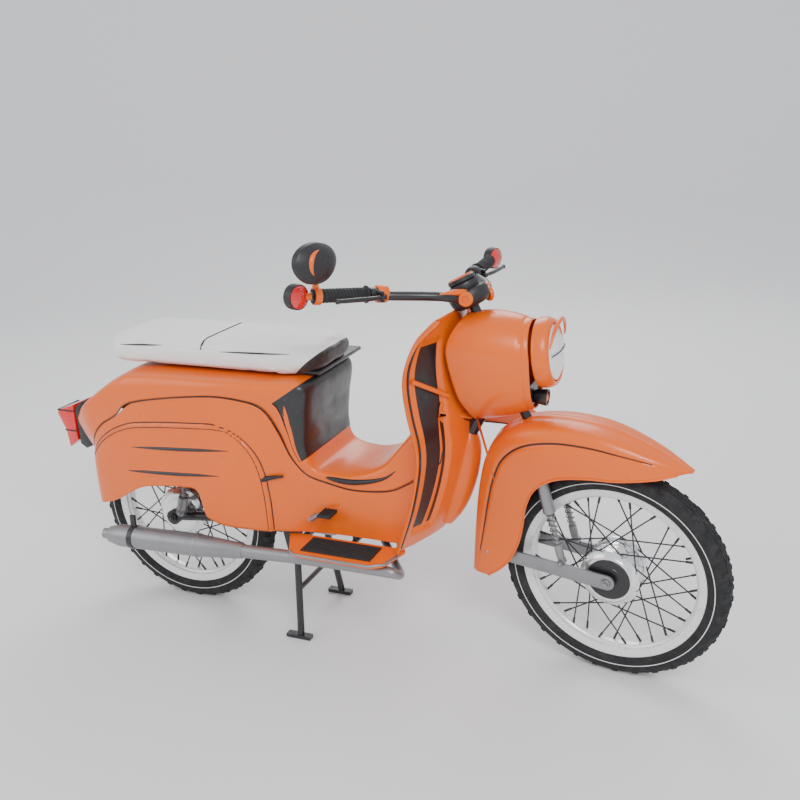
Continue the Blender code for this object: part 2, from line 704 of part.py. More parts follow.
def chain_case_shape():
    """The enclosed chain's case on the left of the swing arm: two runs round the sprocket."""
    low = SWING_PIVOT.lerp(REAR_AXLE, 0.16)
    outline = arm_outline(low, REAR_AXLE, 0.030, 0.062)
    hole = arm_outline(low.lerp(REAR_AXLE, 0.12), REAR_AXLE, 0.018, 0.050)
    start = HUB_HALF_WIDTH + 0.0052
    return cut(prism(outline, start, start + 0.006), prism(hole, start - 0.01, start + 0.02))


def sprocket_shape():
    start = HUB_HALF_WIDTH + GAP
    end = start + 0.004
    return turned([(start, 0.0085), (start, 0.048), (end, 0.048), (end, 0.0085)], REAR_AXLE)


# Bodywork.


def arch_ring(spine, edge, half_width, corner=0.90, thickness=SHEET):
    """One closed ring across an arched panel: over the outside from right to left, and back inside."""
    spine = Vector((spine[0], 0, spine[1]))
    edge = Vector((edge[0], 0, edge[1]))
    up = (spine - edge).normalized()
    height = (spine - edge).length
    outer = ((0.0, 1.0), (0.45, 1.0), (0.80, 0.95), (0.95, corner), (1.0, 0.55), (1.0, 0.0))
    inside_height = height - thickness
    right = [edge + up * height * h + Y * -half_width * w for h, w in outer]
    lining = [edge + up * inside_height * h + Y * -(half_width - thickness) * w for h, w in outer]
    left = [Vector((p.x, -p.y, p.z)) for p in right[-2::-1]]
    lining_left = [Vector((p.x, -p.y, p.z)) for p in lining[:-1]]
    return right + left + lining_left + lining[::-1]


def fender_shape():
    """The front fender: a ridged arch from its pointed tip over the tyre and down behind it."""
    stations = [
        ((0.775, 0.564), (0.762, 0.561), 0.012),
        ((0.702, 0.598), (0.705, 0.551), 0.046),
        ((0.624, 0.628), (0.625, 0.541), 0.066),
        ((0.556, 0.644), (0.555, 0.538), 0.073),
        ((0.470, 0.648), (0.483, 0.524), 0.075),
        ((0.385, 0.634), (0.432, 0.490), 0.075),
        ((0.325, 0.598), (0.408, 0.440), 0.075),
        ((0.292, 0.540), (0.399, 0.385), 0.075),
        ((0.274, 0.465), (0.388, 0.340), 0.075),
        ((0.263, 0.380), (0.366, 0.290), 0.074),
        ((0.256, 0.300), (0.335, 0.252), 0.071),
        ((0.250, 0.228), (0.300, 0.222), 0.064),
    ]
    width = FENDER_HALF_WIDTH / 0.075
    rings = [arch_ring(spine, edge, half * width, 0.72) for spine, edge, half in stations]
    hole = rod(steering_point(0.56), steering_point(0.70), 0.0140, 14)
    return cut(loft(rings), hole)


def shield_edge_x(height):
    """How far forward the leg shield's outer edge stands at a height."""
    edge = [
        (0.292, 0.094), (0.360, 0.120), (0.450, 0.150), (0.550, 0.170), (0.605, 0.170), (0.675, 0.154),
        (0.744, 0.145), (0.791, 0.151), (0.850, 0.177), (0.890, 0.214),
    ]
    return value_at(edge, height)


def shield_keel_x(height):
    """How far forward the middle of the leg shield stands at a height."""
    keel = [(0.292, 0.155), (0.398, 0.208), (0.530, 0.246), (0.620, 0.250), (0.750, 0.238), (0.890, 0.222)]
    return value_at(keel, height)


def shield_row(height):
    """Points across the leg shield's front face at a height, from its right edge to its left."""
    spans = [
        (0.290, 0.188), (0.325, 0.190), (0.360, 0.196), (0.450, 0.202), (0.550, 0.205), (0.675, 0.205),
        (0.744, 0.204), (0.791, 0.200), (0.850, 0.185), (0.890, 0.150),
    ]
    half = value_at(spans, height) * SHIELD_HALF_WIDTH / 0.205
    keel = shield_keel_x(height)
    depth = keel - shield_edge_x(height)
    row = []
    for share in (0.0, 0.20, 0.40, 0.47, 0.62, 0.80, 0.97, 1.0):
        x = keel - depth * share**1.35
        if share == 1.0:
            x += ROLLED_EDGE
        row.append(Vector((x, half * share, height)))
    return [Vector((p.x, -p.y, p.z)) for p in row[:0:-1]] + row


def ahead_of_shield():
    """All the room in front of a face that lies just behind the leg shield."""
    rings = []
    for height in (0.296, 0.325, 0.360, 0.450, 0.550, 0.605, 0.675, 0.744):
        back = [point - Vector((SHIELD_SHEET + SHIELD_CLEARANCE, 0, 0)) for point in shield_row(height)[1:-1]]
        front = [Vector((0.400, point.y, point.z)) for point in reversed(back)]
        rings.append(back + front)
    return loft(rings)


def upper_body_shape():
    """The fixed body from the tail over the seat tower and along the top of the tunnel."""
    stations = [
        ((-0.880, 0.552), (-0.812, 0.450), 0.100),
        ((-0.826, 0.599), (-0.785, 0.508), 0.138),
        ((-0.768, 0.639), (-0.745, 0.556), 0.152),
        ((-0.690, 0.688), (-0.685, 0.592), 0.160),
        ((-0.610, 0.712), (-0.620, 0.636), 0.165),
        ((-0.380, 0.716), (-0.400, 0.672), 0.168),
        ((-0.250, 0.716), (-0.280, 0.666), 0.160),
        ((-0.128, 0.712), (-0.235, 0.642), 0.150),
        ((-0.130, 0.620), (-0.205, 0.588), 0.140),
        ((-0.138, 0.550), (-0.180, 0.525), 0.135),
        ((-0.124, 0.497), (-0.145, 0.479), 0.128),
        ((-0.070, 0.482), (-0.091, 0.459), 0.121),
        ((-0.010, 0.488), (-0.020, 0.447), 0.118),
        ((0.050, 0.516), (0.070, 0.456), 0.118),
        ((0.096, 0.568), (0.118, 0.478), 0.118),
        ((0.140, 0.620), (0.165, 0.510), 0.117),
        ((0.190, 0.668), (0.215, 0.550), 0.112),
        ((0.262, 0.715), (0.290, 0.600), 0.105),
    ]
    body_share = BODY_HALF_WIDTH / 0.168
    tunnel_share = TUNNEL_HALF_WIDTH / 0.118
    rings = []
    for spine, edge, half in stations:
        share = body_share if spine[0] < -0.139 and spine[1] > 0.5 else tunnel_share
        rings.append(arch_ring((along(spine[0]), spine[1]), (along(edge[0]), edge[1]), half * share))
    return cut(loft(rings), ahead_of_shield())


COVER_SEAM = [
    (-0.812, 0.446), (-0.785, 0.504), (-0.745, 0.552), (-0.685, 0.588), (-0.620, 0.632), (-0.400, 0.668),
    (-0.280, 0.662), (-0.235, 0.638), (-0.205, 0.584), (-0.180, 0.521), (-0.145, 0.475), (-0.091, 0.455),
    (-0.020, 0.443), (0.070, 0.452), (0.118, 0.474), (0.165, 0.506), (0.215, 0.546), (0.262, 0.575),
]
COVER_EDGE = [
    (-0.812, 0.322), (-0.780, 0.324), (-0.715, 0.346), (-0.625, 0.396), (-0.560, 0.410), (-0.480, 0.417),
    (-0.440, 0.408), (-0.420, 0.340), (-0.280, 0.322), (0.085, 0.318), (0.262, 0.318),
]
COVER_WIDTH = [
    (-0.812, 0.100), (-0.785, 0.138), (-0.745, 0.152), (-0.685, 0.160), (-0.620, 0.165), (-0.400, 0.168),
    (-0.280, 0.163), (-0.205, 0.146), (-0.145, 0.128), (-0.091, 0.121), (-0.020, 0.118), (0.118, 0.118),
    (0.165, 0.117),
    (0.215, 0.112), (0.262, 0.105),
]
COVER_SEAM = [(along(x), z) for x, z in COVER_SEAM]
COVER_EDGE = [(along(x), z) for x, z in COVER_EDGE]
COVER_WIDTH = [(along(x), half) for x, half in COVER_WIDTH]
PANEL_RISE = 0.006


def side_cover_shape(holes):
    """A removable side cover below the seam, with a raised rear panel."""
    body_share = BODY_HALF_WIDTH / 0.168
    tunnel_share = TUNNEL_HALF_WIDTH / 0.118
    stations = {x for x, _ in COVER_SEAM} | {x for x, _ in COVER_EDGE}
    stations = sorted(stations | {along(x) for x in (-0.655, -0.590, -0.340, -0.245)})
    rows = []
    for x in stations:
        top = value_at(COVER_SEAM, x)
        bottom = value_at(COVER_EDGE, x)
        half = value_at(COVER_WIDTH, x) * (body_share if x < along(-0.190) else tunnel_share)
        row = []
        for share in (0.0, 0.30, 0.62, 0.74, 1.0):
            raised = along(-0.66) < x < along(-0.24) and share < 0.70
            rise = PANEL_RISE if raised else 0.0
            row.append(Vector((x, -half - rise, bottom + share * (top - bottom))))
        rows.append(row)
    return cut(sheet(rows), ahead_of_shield(), *holes)


def leg_shield_shape():
    """A wide thin shield whose wings sweep back from a round keel, with a rolled outer edge."""
    rows = [shield_row(z) for z in (0.325, 0.360, 0.450, 0.550, 0.605, 0.675, 0.744, 0.791, 0.850, 0.890)]
    return cut(sheet(rows, SHIELD_SHEET), sweep(down_tube_path(), DOWN_TUBE_RADIUS + 0.004, 10))


def cowl_shape():
    """The front cowl: a cone from the leg shield forward to the headlight's rim."""
    rear = []
    front = []
    count = 16
    for i in range(count):
        angle = 2 * math.pi * i / count
        across_share = math.cos(angle)
        up_share = math.sin(angle)
        drop = 0.185 if up_share < 0 else 0.075
        width = 0.098 - (0.018 if up_share < -0.8 else 0.0)
        x = 0.243 + (0.020 if up_share < 0 else 0.0) - 0.026 * across_share**2
        rear.append(Vector((x, width * across_share, 0.806 + drop * up_share)))
        reach = 0.077 if up_share >= 0 else 0.133
        front.append(
            Vector((
                0.408 - 0.010 * max(up_share, 0.0), HEADLIGHT_RADIUS * across_share, 0.795 + reach * up_share,
            ))
        )
    middle = [a.lerp(b, 0.5) + Vector((0, 0, 0.004)) for a, b in zip(rear, front)]
    rings = [rear, middle, front]
    lining = []
    for ring in rings:
        centre = sum(ring, Vector()) / count
        lining.append([point + (centre - point).normalized() * 0.003 for point in ring])
    body = loft(rings + lining[::-1], wrap=True)
    stem_hole = rod(steering_point(0.840), steering_point(0.920), 0.030, 14)
    head_hole = rod(steering_point(0.58), steering_point(0.760), 0.028, 14)
    tube_path = sweep(down_tube_path(), DOWN_TUBE_RADIUS + 0.004, 10)
    return cut(body, stem_hole, head_hole, tube_path)


HEADLIGHT_AXIS = Vector((1, 0, 0.10)).normalized()
HEADLIGHT = Vector((0.412, 0, 0.795))


def headlight():
    """The rim and the glass, on one axis."""
    size = HEADLIGHT_RADIUS
    rim = [
        (0.004, size + 0.003), (0.024, size + 0.002), (0.040, size - 0.006), (0.040, size - 0.012),
        (0.004, size - 0.012),
    ]
    piece("headlight_rim", turned(rim, HEADLIGHT, HEADLIGHT_AXIS, 24), ALLOY)
    glass = [
        (0.022, size - 0.0124), (0.040, size - 0.0124), (0.050, size * 0.5), (0.053, 0.012), (0.053, 0.004),
    ]
    glass += [(0.049, 0.004), (0.046, size * 0.5), (0.030, size - 0.018), (0.022, size - 0.018)]
    centre_disc = spindle([(0.049, 0.008), (0.053, 0.008)], HEADLIGHT, HEADLIGHT_AXIS, 12)
    lens = fused(turned(glass, HEADLIGHT, HEADLIGHT_AXIS, 24), centre_disc)
    piece("headlight_glass", lens, CLEAR_GLASS)


HORN = Vector((0.404, 0, 0.690))


def horn_shape():
    """The small horn below the headlight, with its round mouth forward."""
    ahead = Vector((1, 0, -0.05)).normalized()
    profile = [
        (0.0, 0.004), (0.0, 0.016), (0.014, 0.0185), (0.030, 0.020), (0.032, 0.017), (0.018, 0.014),
        (0.016, 0.004),
    ]
    body = turned(profile, HORN, ahead, 16)
    stem = spindle([(0.0, 0.006), (0.016, 0.006)], HORN, ahead, 10)
    return fused(body, stem)


def footboard_shape():
    """One side's floor plate, with its outer lip."""
    inner = TUNNEL_HALF_WIDTH + 0.008
    bevel = 0.020
    low = FLOOR_HEIGHT - 0.0085
    outline = [
        (-0.205, inner), (-0.160, FLOOR_HALF_WIDTH - bevel), (-0.140, FLOOR_HALF_WIDTH),
        (0.066, FLOOR_HALF_WIDTH), (0.096, FLOOR_HALF_WIDTH - bevel), (0.120, inner),
    ]
    return loft([[Vector((x, -y, z)) for x, y in outline] for z in (low, FLOOR_HEIGHT)])


def seat_pan_shape():
    front = SEAT_HINGE.x
    return block((front - 0.560, -0.122, SEAT_HINGE.z - 0.002), (front - 0.004, 0.122, SEAT_HINGE.z + 0.008))


def seat_cushion_shape():
    """The soft seat: flat below, domed above, narrower at the front."""
    low = SEAT_HINGE.z + 0.008 + GAP
    front = SEAT_HINGE.x + 0.033
    rings = []
    for share, half, top in (
        (0.0, 0.100, 0.032), (0.03, 0.116, 0.050), (0.12, 0.127, 0.062), (0.5, 0.131, 0.060),
        (0.88, 0.127, 0.054), (0.97, 0.116, 0.042), (1.0, 0.104, 0.026),
    ):
        x = front - SEAT_LENGTH * share
        section = [
            (-0.94, 0), (-1.0, 0.35), (-0.97, 0.78), (-0.83, 0.96), (0, 1.0),
            (0.83, 0.96), (0.97, 0.78), (1.0, 0.35), (0.94, 0),
        ]
        rings.append([Vector((x, half * y, low + top * z)) for y, z in section])
    return loft(rings)


def tank_shape():
    """The fuel tank below the seat, with its filler neck."""
    rings = []
    for x, inset in ((-0.500, 0.012), (-0.490, 0.0), (-0.200, 0.0), (-0.190, 0.012)):
        half = 0.102 - inset
        low = 0.628 + inset
        high = 0.700 - inset
        corner = 0.018
        rings.append(
            [Vector((x, y, z)) for y, z in (
                (-half, low + corner), (-half + corner, low), (half - corner, low), (half, low + corner),
                (half, high - corner), (half - corner, high), (-half + corner, high), (-half, high - corner),
            )]
        )
    return loft(rings)


def tail_light():
    """The black housing on the tail and its stepped red lens."""
    housing = [
        (-0.888, 0.545), (-0.880, 0.440), (-0.905, 0.428), (-0.925, 0.440), (-0.930, 0.548), (-0.905, 0.566),
    ]
    housing = [(along(x), z) for x, z in housing]
    piece("tail_light_housing", prism(housing, -0.040, 0.040), BLACK_METAL)
    lens = [
        (-0.9305, 0.470), (-0.9285, 0.452), (-0.962, 0.428), (-0.968, 0.480), (-0.990, 0.528),
        (-0.986, 0.540), (-0.9305, 0.558),
    ]
    lens = [(along(x), z) for x, z in lens]
    piece("tail_light_lens", prism(lens, -0.043, 0.043), RED_LENS)


def bodywork():
    piece("front_fender", fender_shape(), ORANGE, "steering")
    piece("upper_body", upper_body_shape(), ORANGE)
    kick_hole = rod(KICK_SHAFT - Y * 0.30, KICK_SHAFT, 0.012, 12)
    gear_hole = rod(GEAR_SHAFT - Y * 0.30, GEAR_SHAFT, 0.010, 12)
    brake_hole = rod(BRAKE_SHAFT - Y * 0.30, BRAKE_SHAFT, 0.010, 12)
    piece("side_cover_right", side_cover_shape([brake_hole]), ORANGE)
    piece("side_cover_left", mirrored(side_cover_shape([kick_hole, gear_hole])), ORANGE)
    piece("leg_shield", leg_shield_shape(), ORANGE)
    piece("front_cowl", cowl_shape(), ORANGE)
    headlight()
    piece("horn", horn_shape(), BLACK_METAL)
    both_sides("footboard", footboard_shape(), ORANGE)
    piece("seat_pan", seat_pan_shape(), BLACK_METAL, "seat_hinge")
    piece("seat_cushion", seat_cushion_shape(), WHITE_VINYL, "seat_hinge")
    piece("fuel_tank", tank_shape(), BLACK_METAL)
    tail_light()
    piece("frame", frame_shape(), BLACK_METAL)
    piece("centre_stand", stand_shape(), BLACK_METAL, "stand_pivot")
    piece("brake_pedal", brake_pedal_shape(), BLACK_METAL, "brake_shaft")


def brake_pedal_shape():
    """The rear brake pedal on the right: a shaft, an arm forward and up, and a pad."""
    arm = BRAKE_SHAFT - Y * (TUNNEL_HALF_WIDTH + 0.032)
    toe = arm + Vector((0.050, -0.014, 0.028))
    shapes = [rod(BRAKE_SHAFT - Y * (TUNNEL_HALF_WIDTH - 0.006), arm - Y * 0.004, 0.0065)]
    shapes.append(rod(arm, toe, 0.007))
    shapes.append(block(toe + Vector((-0.014, -0.022, -0.004)), toe + Vector((0.022, 0.022, 0.007))))
    return fused(*shapes)


# Handlebar.

BAR_CENTRE = steering_point(0.915)
GRIP_START = Vector((0.118, 0.205, 0.938))
GRIP_END = Vector((0.068, BAR_HALF_WIDTH, 0.946))
GRIP_DIRECTION = (GRIP_END - GRIP_START).normalized()
LEVER_PIVOT = GRIP_START + Vector((0.034, -0.012, -0.004))


def bar_shape():
    """The swept bar, the clamp that holds it on the steering tube, and a lever perch on each side."""
    half = [
        BAR_CENTRE + Vector((0.002, 0.040, 0.003)), BAR_CENTRE + Vector((-0.020, 0.095, 0.014)),
        GRIP_START + Vector((0.018, -0.032, -0.006)), GRIP_START, GRIP_END,
    ]
    points = [Vector((p.x, -p.y, p.z)) for p in reversed(half)] + half
    clamp = rod(BAR_CENTRE - BAR_UPRIGHT * 0.020, BAR_CENTRE + BAR_UPRIGHT * 0.016, 0.024, 12)
    bore = rod(BAR_CENTRE - BAR_UPRIGHT * 0.03, BAR_CENTRE - BAR_UPRIGHT * 0.004, 0.0128, 12)
    bar = cut(fused(sweep(points, BAR_RADIUS, 10), clamp), bore)
    perch = lever_perch_shape()
    return fused(bar, mirrored(perch), perch)


def bar_cowl_shape():
    """The cover over the clamp, with the speedometer's mouth."""
    up = BAR_UPRIGHT
    low = BAR_CENTRE + up * 0.0200
    return spindle([(0.0, 0.034), (0.018, 0.036)], low, up, 14)


def speedometer_shape():
    up = BAR_UPRIGHT
    low = BAR_CENTRE + up * (0.0380 + GAP)
    return spindle([(0.0, 0.032), (0.010, 0.034), (0.014, 0.030)], low, up, 16)


def sleeve(start, end, radius, bore):
    length = (end - start).length
    return turned([(0, bore), (0, radius), (length, radius), (length, bore)], start, end - start, 14)


def lever_shape():
    """A hand lever: an eye on its pin and a blade that ends in a ball."""
    tip = LEVER_PIVOT + GRIP_DIRECTION * 0.128 + Vector((0.016, 0, -0.004))
    elbow = LEVER_PIVOT + GRIP_DIRECTION * 0.035 + Vector((0.010, 0, -0.002))
    blade = sweep([LEVER_PIVOT, elbow, tip], [0.0045, 0.005, 0.0045], 8)
    eye = rod(LEVER_PIVOT - LEVER_AXIS * 0.005, LEVER_PIVOT + LEVER_AXIS * 0.005, 0.009, 12)
    bore = rod(LEVER_PIVOT - LEVER_AXIS * 0.02, LEVER_PIVOT + LEVER_AXIS * 0.02, 0.0030 + PIN_PLAY, 10)
    return cut(fused(eye, blade), bore)


LEVER_AXIS = GRIP_DIRECTION.cross(Vector((1, 0, 0))).normalized()


def lever_perch_shape():
    """The clamp on the bar that carries a lever's pin between two ears."""
    middle = GRIP_START - GRIP_DIRECTION * 0.010
    collar = turned(
        [(-0.009, BAR_RADIUS - 0.002), (-0.009, 0.0155), (0.008, 0.0155), (0.008, BAR_RADIUS - 0.002)],
        middle, GRIP_DIRECTION, 14,
    )
    shapes = [collar]
    for side in (-1, 1):
        level = LEVER_AXIS * side * 0.0088
        shapes.append(rod(middle + (LEVER_PIVOT - middle) * 0.36 + level, LEVER_PIVOT + level, 0.0024, 6))
    shapes.append(rod(LEVER_PIVOT - LEVER_AXIS * 0.0105, LEVER_PIVOT + LEVER_AXIS * 0.0105, 0.0030, 10))
    return fused(*shapes)


def indicator_shape():
    """A bar-end direction indicator: a lamp drum standing square to the bar."""
    start = GRIP_END + GRIP_DIRECTION * 0.0035
    stem = spindle([(0.0, 0.009), (0.014, 0.009)], start, GRIP_DIRECTION, 10)
    centre = start + GRIP_DIRECTION * 0.034
    outline = [(-0.016, 0.022), (-0.012, 0.028), (0.012, 0.028), (0.016, 0.022)]
    drum = spindle(outline, centre, Vector((1, 0, 0)), 16)
    return fused(stem, drum)


MIRROR_CLAMP = GRIP_END - GRIP_DIRECTION * 0.010
MIRROR_HEAD = MIRROR_CLAMP + Vector((0.046, 0.044, 0.066))


def on_right(point):
    return Vector((point.x, -point.y, point.z))


def mirror_stem_shape():
    """The clamp near the end of the right grip and the stem that rises from it."""
    collar = turned(
        [(-0.007, 0.0168), (-0.007, 0.0195), (0.007, 0.0195), (0.007, 0.0168)],
        on_right(MIRROR_CLAMP), on_right(GRIP_DIRECTION), 14,
    )
    base = on_right(MIRROR_CLAMP) + Z * 0.0205
    top = on_right(MIRROR_HEAD) - Z * 0.036
    return fused(collar, sweep([base, base.lerp(top, 0.4), top], 0.0045, 8))


def mirror_head_shape():
    """The mirror's round shell, whose flat face looks back."""
    back = Vector((1, 0, 0.05)).normalized()
    centre = on_right(MIRROR_HEAD) + Z * 0.014
    shell = spindle(
        [(-0.010, 0.050), (-0.008, 0.054), (0.004, 0.052), (0.016, 0.036), (0.022, 0.012)], centre, back, 20,
    )
    bmesh.ops.scale(shell, vec=(1, 1.16, 0.82), verts=shell.verts, space=Matrix.Translation(-centre))
    return shell


def handlebar():
    piece("handlebar", bar_shape(), BLACK_METAL, "bar")
    piece("bar_cowl", bar_cowl_shape(), ORANGE, "bar")
    piece("speedometer", speedometer_shape(), BLACK_METAL, "bar")
    grip = sleeve(GRIP_START, GRIP_END + GRIP_DIRECTION * 0.003, 0.0160, BAR_RADIUS + PIN_PLAY + GAP)
    twist = mirrored(grip)
    piece("grip_left", grip, RUBBER, "bar")
    piece("twist_grip", twist, RUBBER, "twist")
    both_sides("lever", mirrored(lever_shape()), BLACK_METAL, ("lever_right_pivot", "lever_left_pivot"))
    both_sides("indicator", mirrored(indicator_shape()), RED_LENS, "bar")
    piece("mirror_stem", mirror_stem_shape(), BLACK_METAL, "bar")
    piece("mirror_head", mirror_head_shape(), BLACK_METAL, "mirror_pivot")


def pivots():
    """Every joint's empty, in the order of the tree."""
    pivot("vehicle", (0, 0, 0))
    PIVOTS["vehicle"][0].location = (MIDPOINT_X, MIDPOINT_Y, 0)
    pivot("steering", HEAD, "vehicle", PARKED_STEER, STEER_AXIS)
    pivot("bar", BAR_CENTRE, "steering", BAR_SET.angle, BAR_SET.axis)
    pivot("front_link_pivot", LINK_PIVOT, "steering")
    pivot("front_wheel_spin", FRONT_AXLE, "front_link_pivot")
    pivot("swing_pivot", SWING_PIVOT, "vehicle")
    pivot("rear_wheel_spin", REAR_AXLE, "swing_pivot")
    for name, side in (("right", -1), ("left", 1)):
        pivot("front_strut_top_" + name, FRONT_STRUT_TOP + Y * side * FRONT_STRUT_Y, "steering")
        pivot("rear_strut_top_" + name, REAR_STRUT_TOP + Y * side * REAR_STRUT_Y, "vehicle")
    pivot("stand_pivot", STAND_PIVOT, "vehicle")
    pivot("seat_hinge", SEAT_HINGE, "vehicle")
    pivot("kick_shaft", KICK_SHAFT, "vehicle")
    pivot("gear_shaft", GEAR_SHAFT, "vehicle")
    pivot("brake_shaft", BRAKE_SHAFT, "vehicle")
    pivot("twist", on_right(GRIP_START), "bar")
    pivot("lever_left_pivot", LEVER_PIVOT, "bar")
    pivot("lever_right_pivot", on_right(LEVER_PIVOT), "bar")
    pivot("mirror_pivot", on_right(MIRROR_HEAD), "bar")


def main():
    clear_scene()
    pivots()
    wheel("front", FRONT_AXLE, "front_wheel_spin", "front_link_pivot", 1)
    wheel("rear", REAR_AXLE, "rear_wheel_spin", "swing_pivot", -1)
    front_suspension()
    rear_suspension()
    power_unit()
    bodywork()
    handlebar()


main()
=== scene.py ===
"""The finished look of a step-through moped, built around its packed frame."""

import math

import bmesh
import bpy
from bpy.props import FloatProperty, FloatVectorProperty, IntProperty, PointerProperty
from bpy.types import Operator, Panel, PropertyGroup
from mathutils import Matrix, Vector


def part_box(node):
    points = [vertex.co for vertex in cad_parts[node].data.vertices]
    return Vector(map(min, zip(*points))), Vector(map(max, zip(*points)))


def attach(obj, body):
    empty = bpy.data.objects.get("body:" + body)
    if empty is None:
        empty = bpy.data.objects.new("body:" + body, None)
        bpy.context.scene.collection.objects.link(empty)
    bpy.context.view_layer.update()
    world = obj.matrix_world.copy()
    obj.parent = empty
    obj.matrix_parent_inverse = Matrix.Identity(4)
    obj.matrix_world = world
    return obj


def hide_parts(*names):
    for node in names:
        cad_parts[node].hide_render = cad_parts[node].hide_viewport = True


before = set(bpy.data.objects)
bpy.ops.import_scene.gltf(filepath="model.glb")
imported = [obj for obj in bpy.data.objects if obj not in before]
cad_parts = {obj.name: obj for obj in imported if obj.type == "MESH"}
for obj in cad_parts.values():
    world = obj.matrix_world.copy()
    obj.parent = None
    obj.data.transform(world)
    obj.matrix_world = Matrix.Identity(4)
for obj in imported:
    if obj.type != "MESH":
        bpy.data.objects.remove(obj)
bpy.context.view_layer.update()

bl_info = {
    "name": "Step-through moped finish",
    "version": (1, 0, 0),
    "blender": (4, 5, 0),
    "location": "3D View > Sidebar > Moped",
    "description": "Builds the visible bodywork, wheels, seat and controls of a moped around its frame",
    "category": "Object",
}


def middle(node):
    low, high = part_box(node)
    return (Vector(low) + Vector(high)) / 2


Y = Vector((0, 1, 0))
Z = Vector((0, 0, 1))
WHEELBASE = 1.200
REAR_AXLE = Vector((middle("rear_tyre").x, 0, middle("rear_tyre").z))
SHIFT = Vector((REAR_AXLE.x + WHEELBASE / 2, middle("rear_tyre").y, 0))
TYRE_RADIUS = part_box("rear_tyre")[1][2] / 2
TYRE_HALF = (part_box("rear_tyre")[1][1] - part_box("rear_tyre")[0][1]) / 2
FRONT_AXLE = Vector((WHEELBASE / 2, 0, TYRE_RADIUS))
BACK_AXLE = Vector((-WHEELBASE / 2, 0, TYRE_RADIUS))

# Steering geometry, about the point on the ground midway between the axles.
RAKE = math.radians(26)
HEAD = Vector((0.305, 0, 0.800))
STEER_AXIS = Vector((-math.sin(RAKE), 0, math.cos(RAKE)))


def turned_about_head(degrees):
    turn = Matrix.Rotation(math.radians(degrees), 4, STEER_AXIS)
    return Matrix.Translation(HEAD) @ turn @ Matrix.Translation(-HEAD)


STRAIGHT = Matrix.Identity(4)
STEERED = turned_about_head(-8)


def steering_point(height):
    return HEAD + STEER_AXIS * ((height - HEAD.z) / STEER_AXIS.z)


def value_at(stations, position):
    """The value at a position on a smooth curve through (position, value) stations."""
    stations = list(stations)
    if position <= stations[0][0]:
        return stations[0][1]
    for i in range(len(stations) - 1):
        x0, v0 = stations[i]
        x1, v1 = stations[i + 1]
        if position <= x1:
            before = stations[max(i - 1, 0)]
            after = stations[min(i + 2, len(stations) - 1)]
            slope0 = (v1 - before[1]) / (x1 - before[0])
            slope1 = (after[1] - v0) / (after[0] - x0)
            span = x1 - x0
            t = (position - x0) / span
            h = t * t * (3 - 2 * t)
            return (
                v0 * (1 - h) + v1 * h + span * (slope0 * t * (1 - t) ** 2 - slope1 * t * t * (1 - t))
            )
    return stations[-1][1]


def smooth_rows(rows, share):
    """A row of numbers read from a smooth curve through all the rows, share running from 0 to 1."""
    last = len(rows) - 1
    return [value_at([(i / last, row[k]) for i, row in enumerate(rows)], share) for k in range(len(rows[0]))]


# Finishing a mesh into a piece.


def add_piece(name, bm, colour, body, nodes=(), place=STRAIGHT, angle=35, outward=True):
    """A finished mesh in the frame's own place, riding on its body and standing for its nodes."""
    bmesh.ops.transform(bm, matrix=Matrix.Translation(SHIFT) @ place, verts=bm.verts)
    if outward:
        bmesh.ops.recalc_face_normals(bm, faces=bm.faces)
    mesh = bpy.data.meshes.new(name)
    bm.to_mesh(mesh)
    bm.free()
    obj = bpy.data.objects.new(name, mesh)
    bpy.context.scene.collection.objects.link(obj)
    mesh.materials.append(look(colour))
    mesh.shade_smooth()
    mesh.set_sharp_from_angle(angle=math.radians(angle))
    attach(obj, body)
    if nodes:
        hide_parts(*nodes)
    return obj


def formed_sheet(shape, across, along):
    """An open grid whose points a shape function places, from shares across and along that run 0 to 1."""
    bm = bmesh.new()
    bmesh.ops.create_grid(bm, x_segments=across, y_segments=along, size=0.5)
    for vert in bm.verts:
        vert.co = shape(min(max(vert.co.x + 0.5, 0.0), 1.0), min(max(vert.co.y + 0.5, 0.0), 1.0))
    return bm


def thicken(obj, wall, offset=-1.0):
    solid = obj.modifiers.new("wall", "SOLIDIFY")
    solid.thickness = wall
    solid.offset = offset
    solid.use_even_offset = True


def round_edges(obj, width, segments=2):
    edge = obj.modifiers.new("edges", "BEVEL")
    edge.width = width
    edge.segments = segments
    edge.limit_method = "ANGLE"
    edge.angle_limit = math.radians(40)


def spun(profile, centre, axis=Y, steps=64):
    """A closed outline of (distance along the axis, radius) points spun a full turn about the axis."""
    axis = Vector(axis).normalized()
    side = axis.orthogonal().normalized()
    bm = bmesh.new()
    verts = [bm.verts.new(Vector(centre) + axis * along + side * radius) for along, radius in profile]
    edges = [bm.edges.new((verts[i - 1], verts[i])) for i in range(1, len(verts))]
    if profile[0][1] > 1e-6 and profile[-1][1] > 1e-6:
        edges.append(bm.edges.new((verts[-1], verts[0])))
    bmesh.ops.spin(
        bm, geom=verts + edges, cent=centre, axis=axis, angle=2 * math.pi, steps=steps, use_merge=True
    )
    bmesh.ops.remove_doubles(bm, verts=bm.verts, dist=1e-6)
    return bm


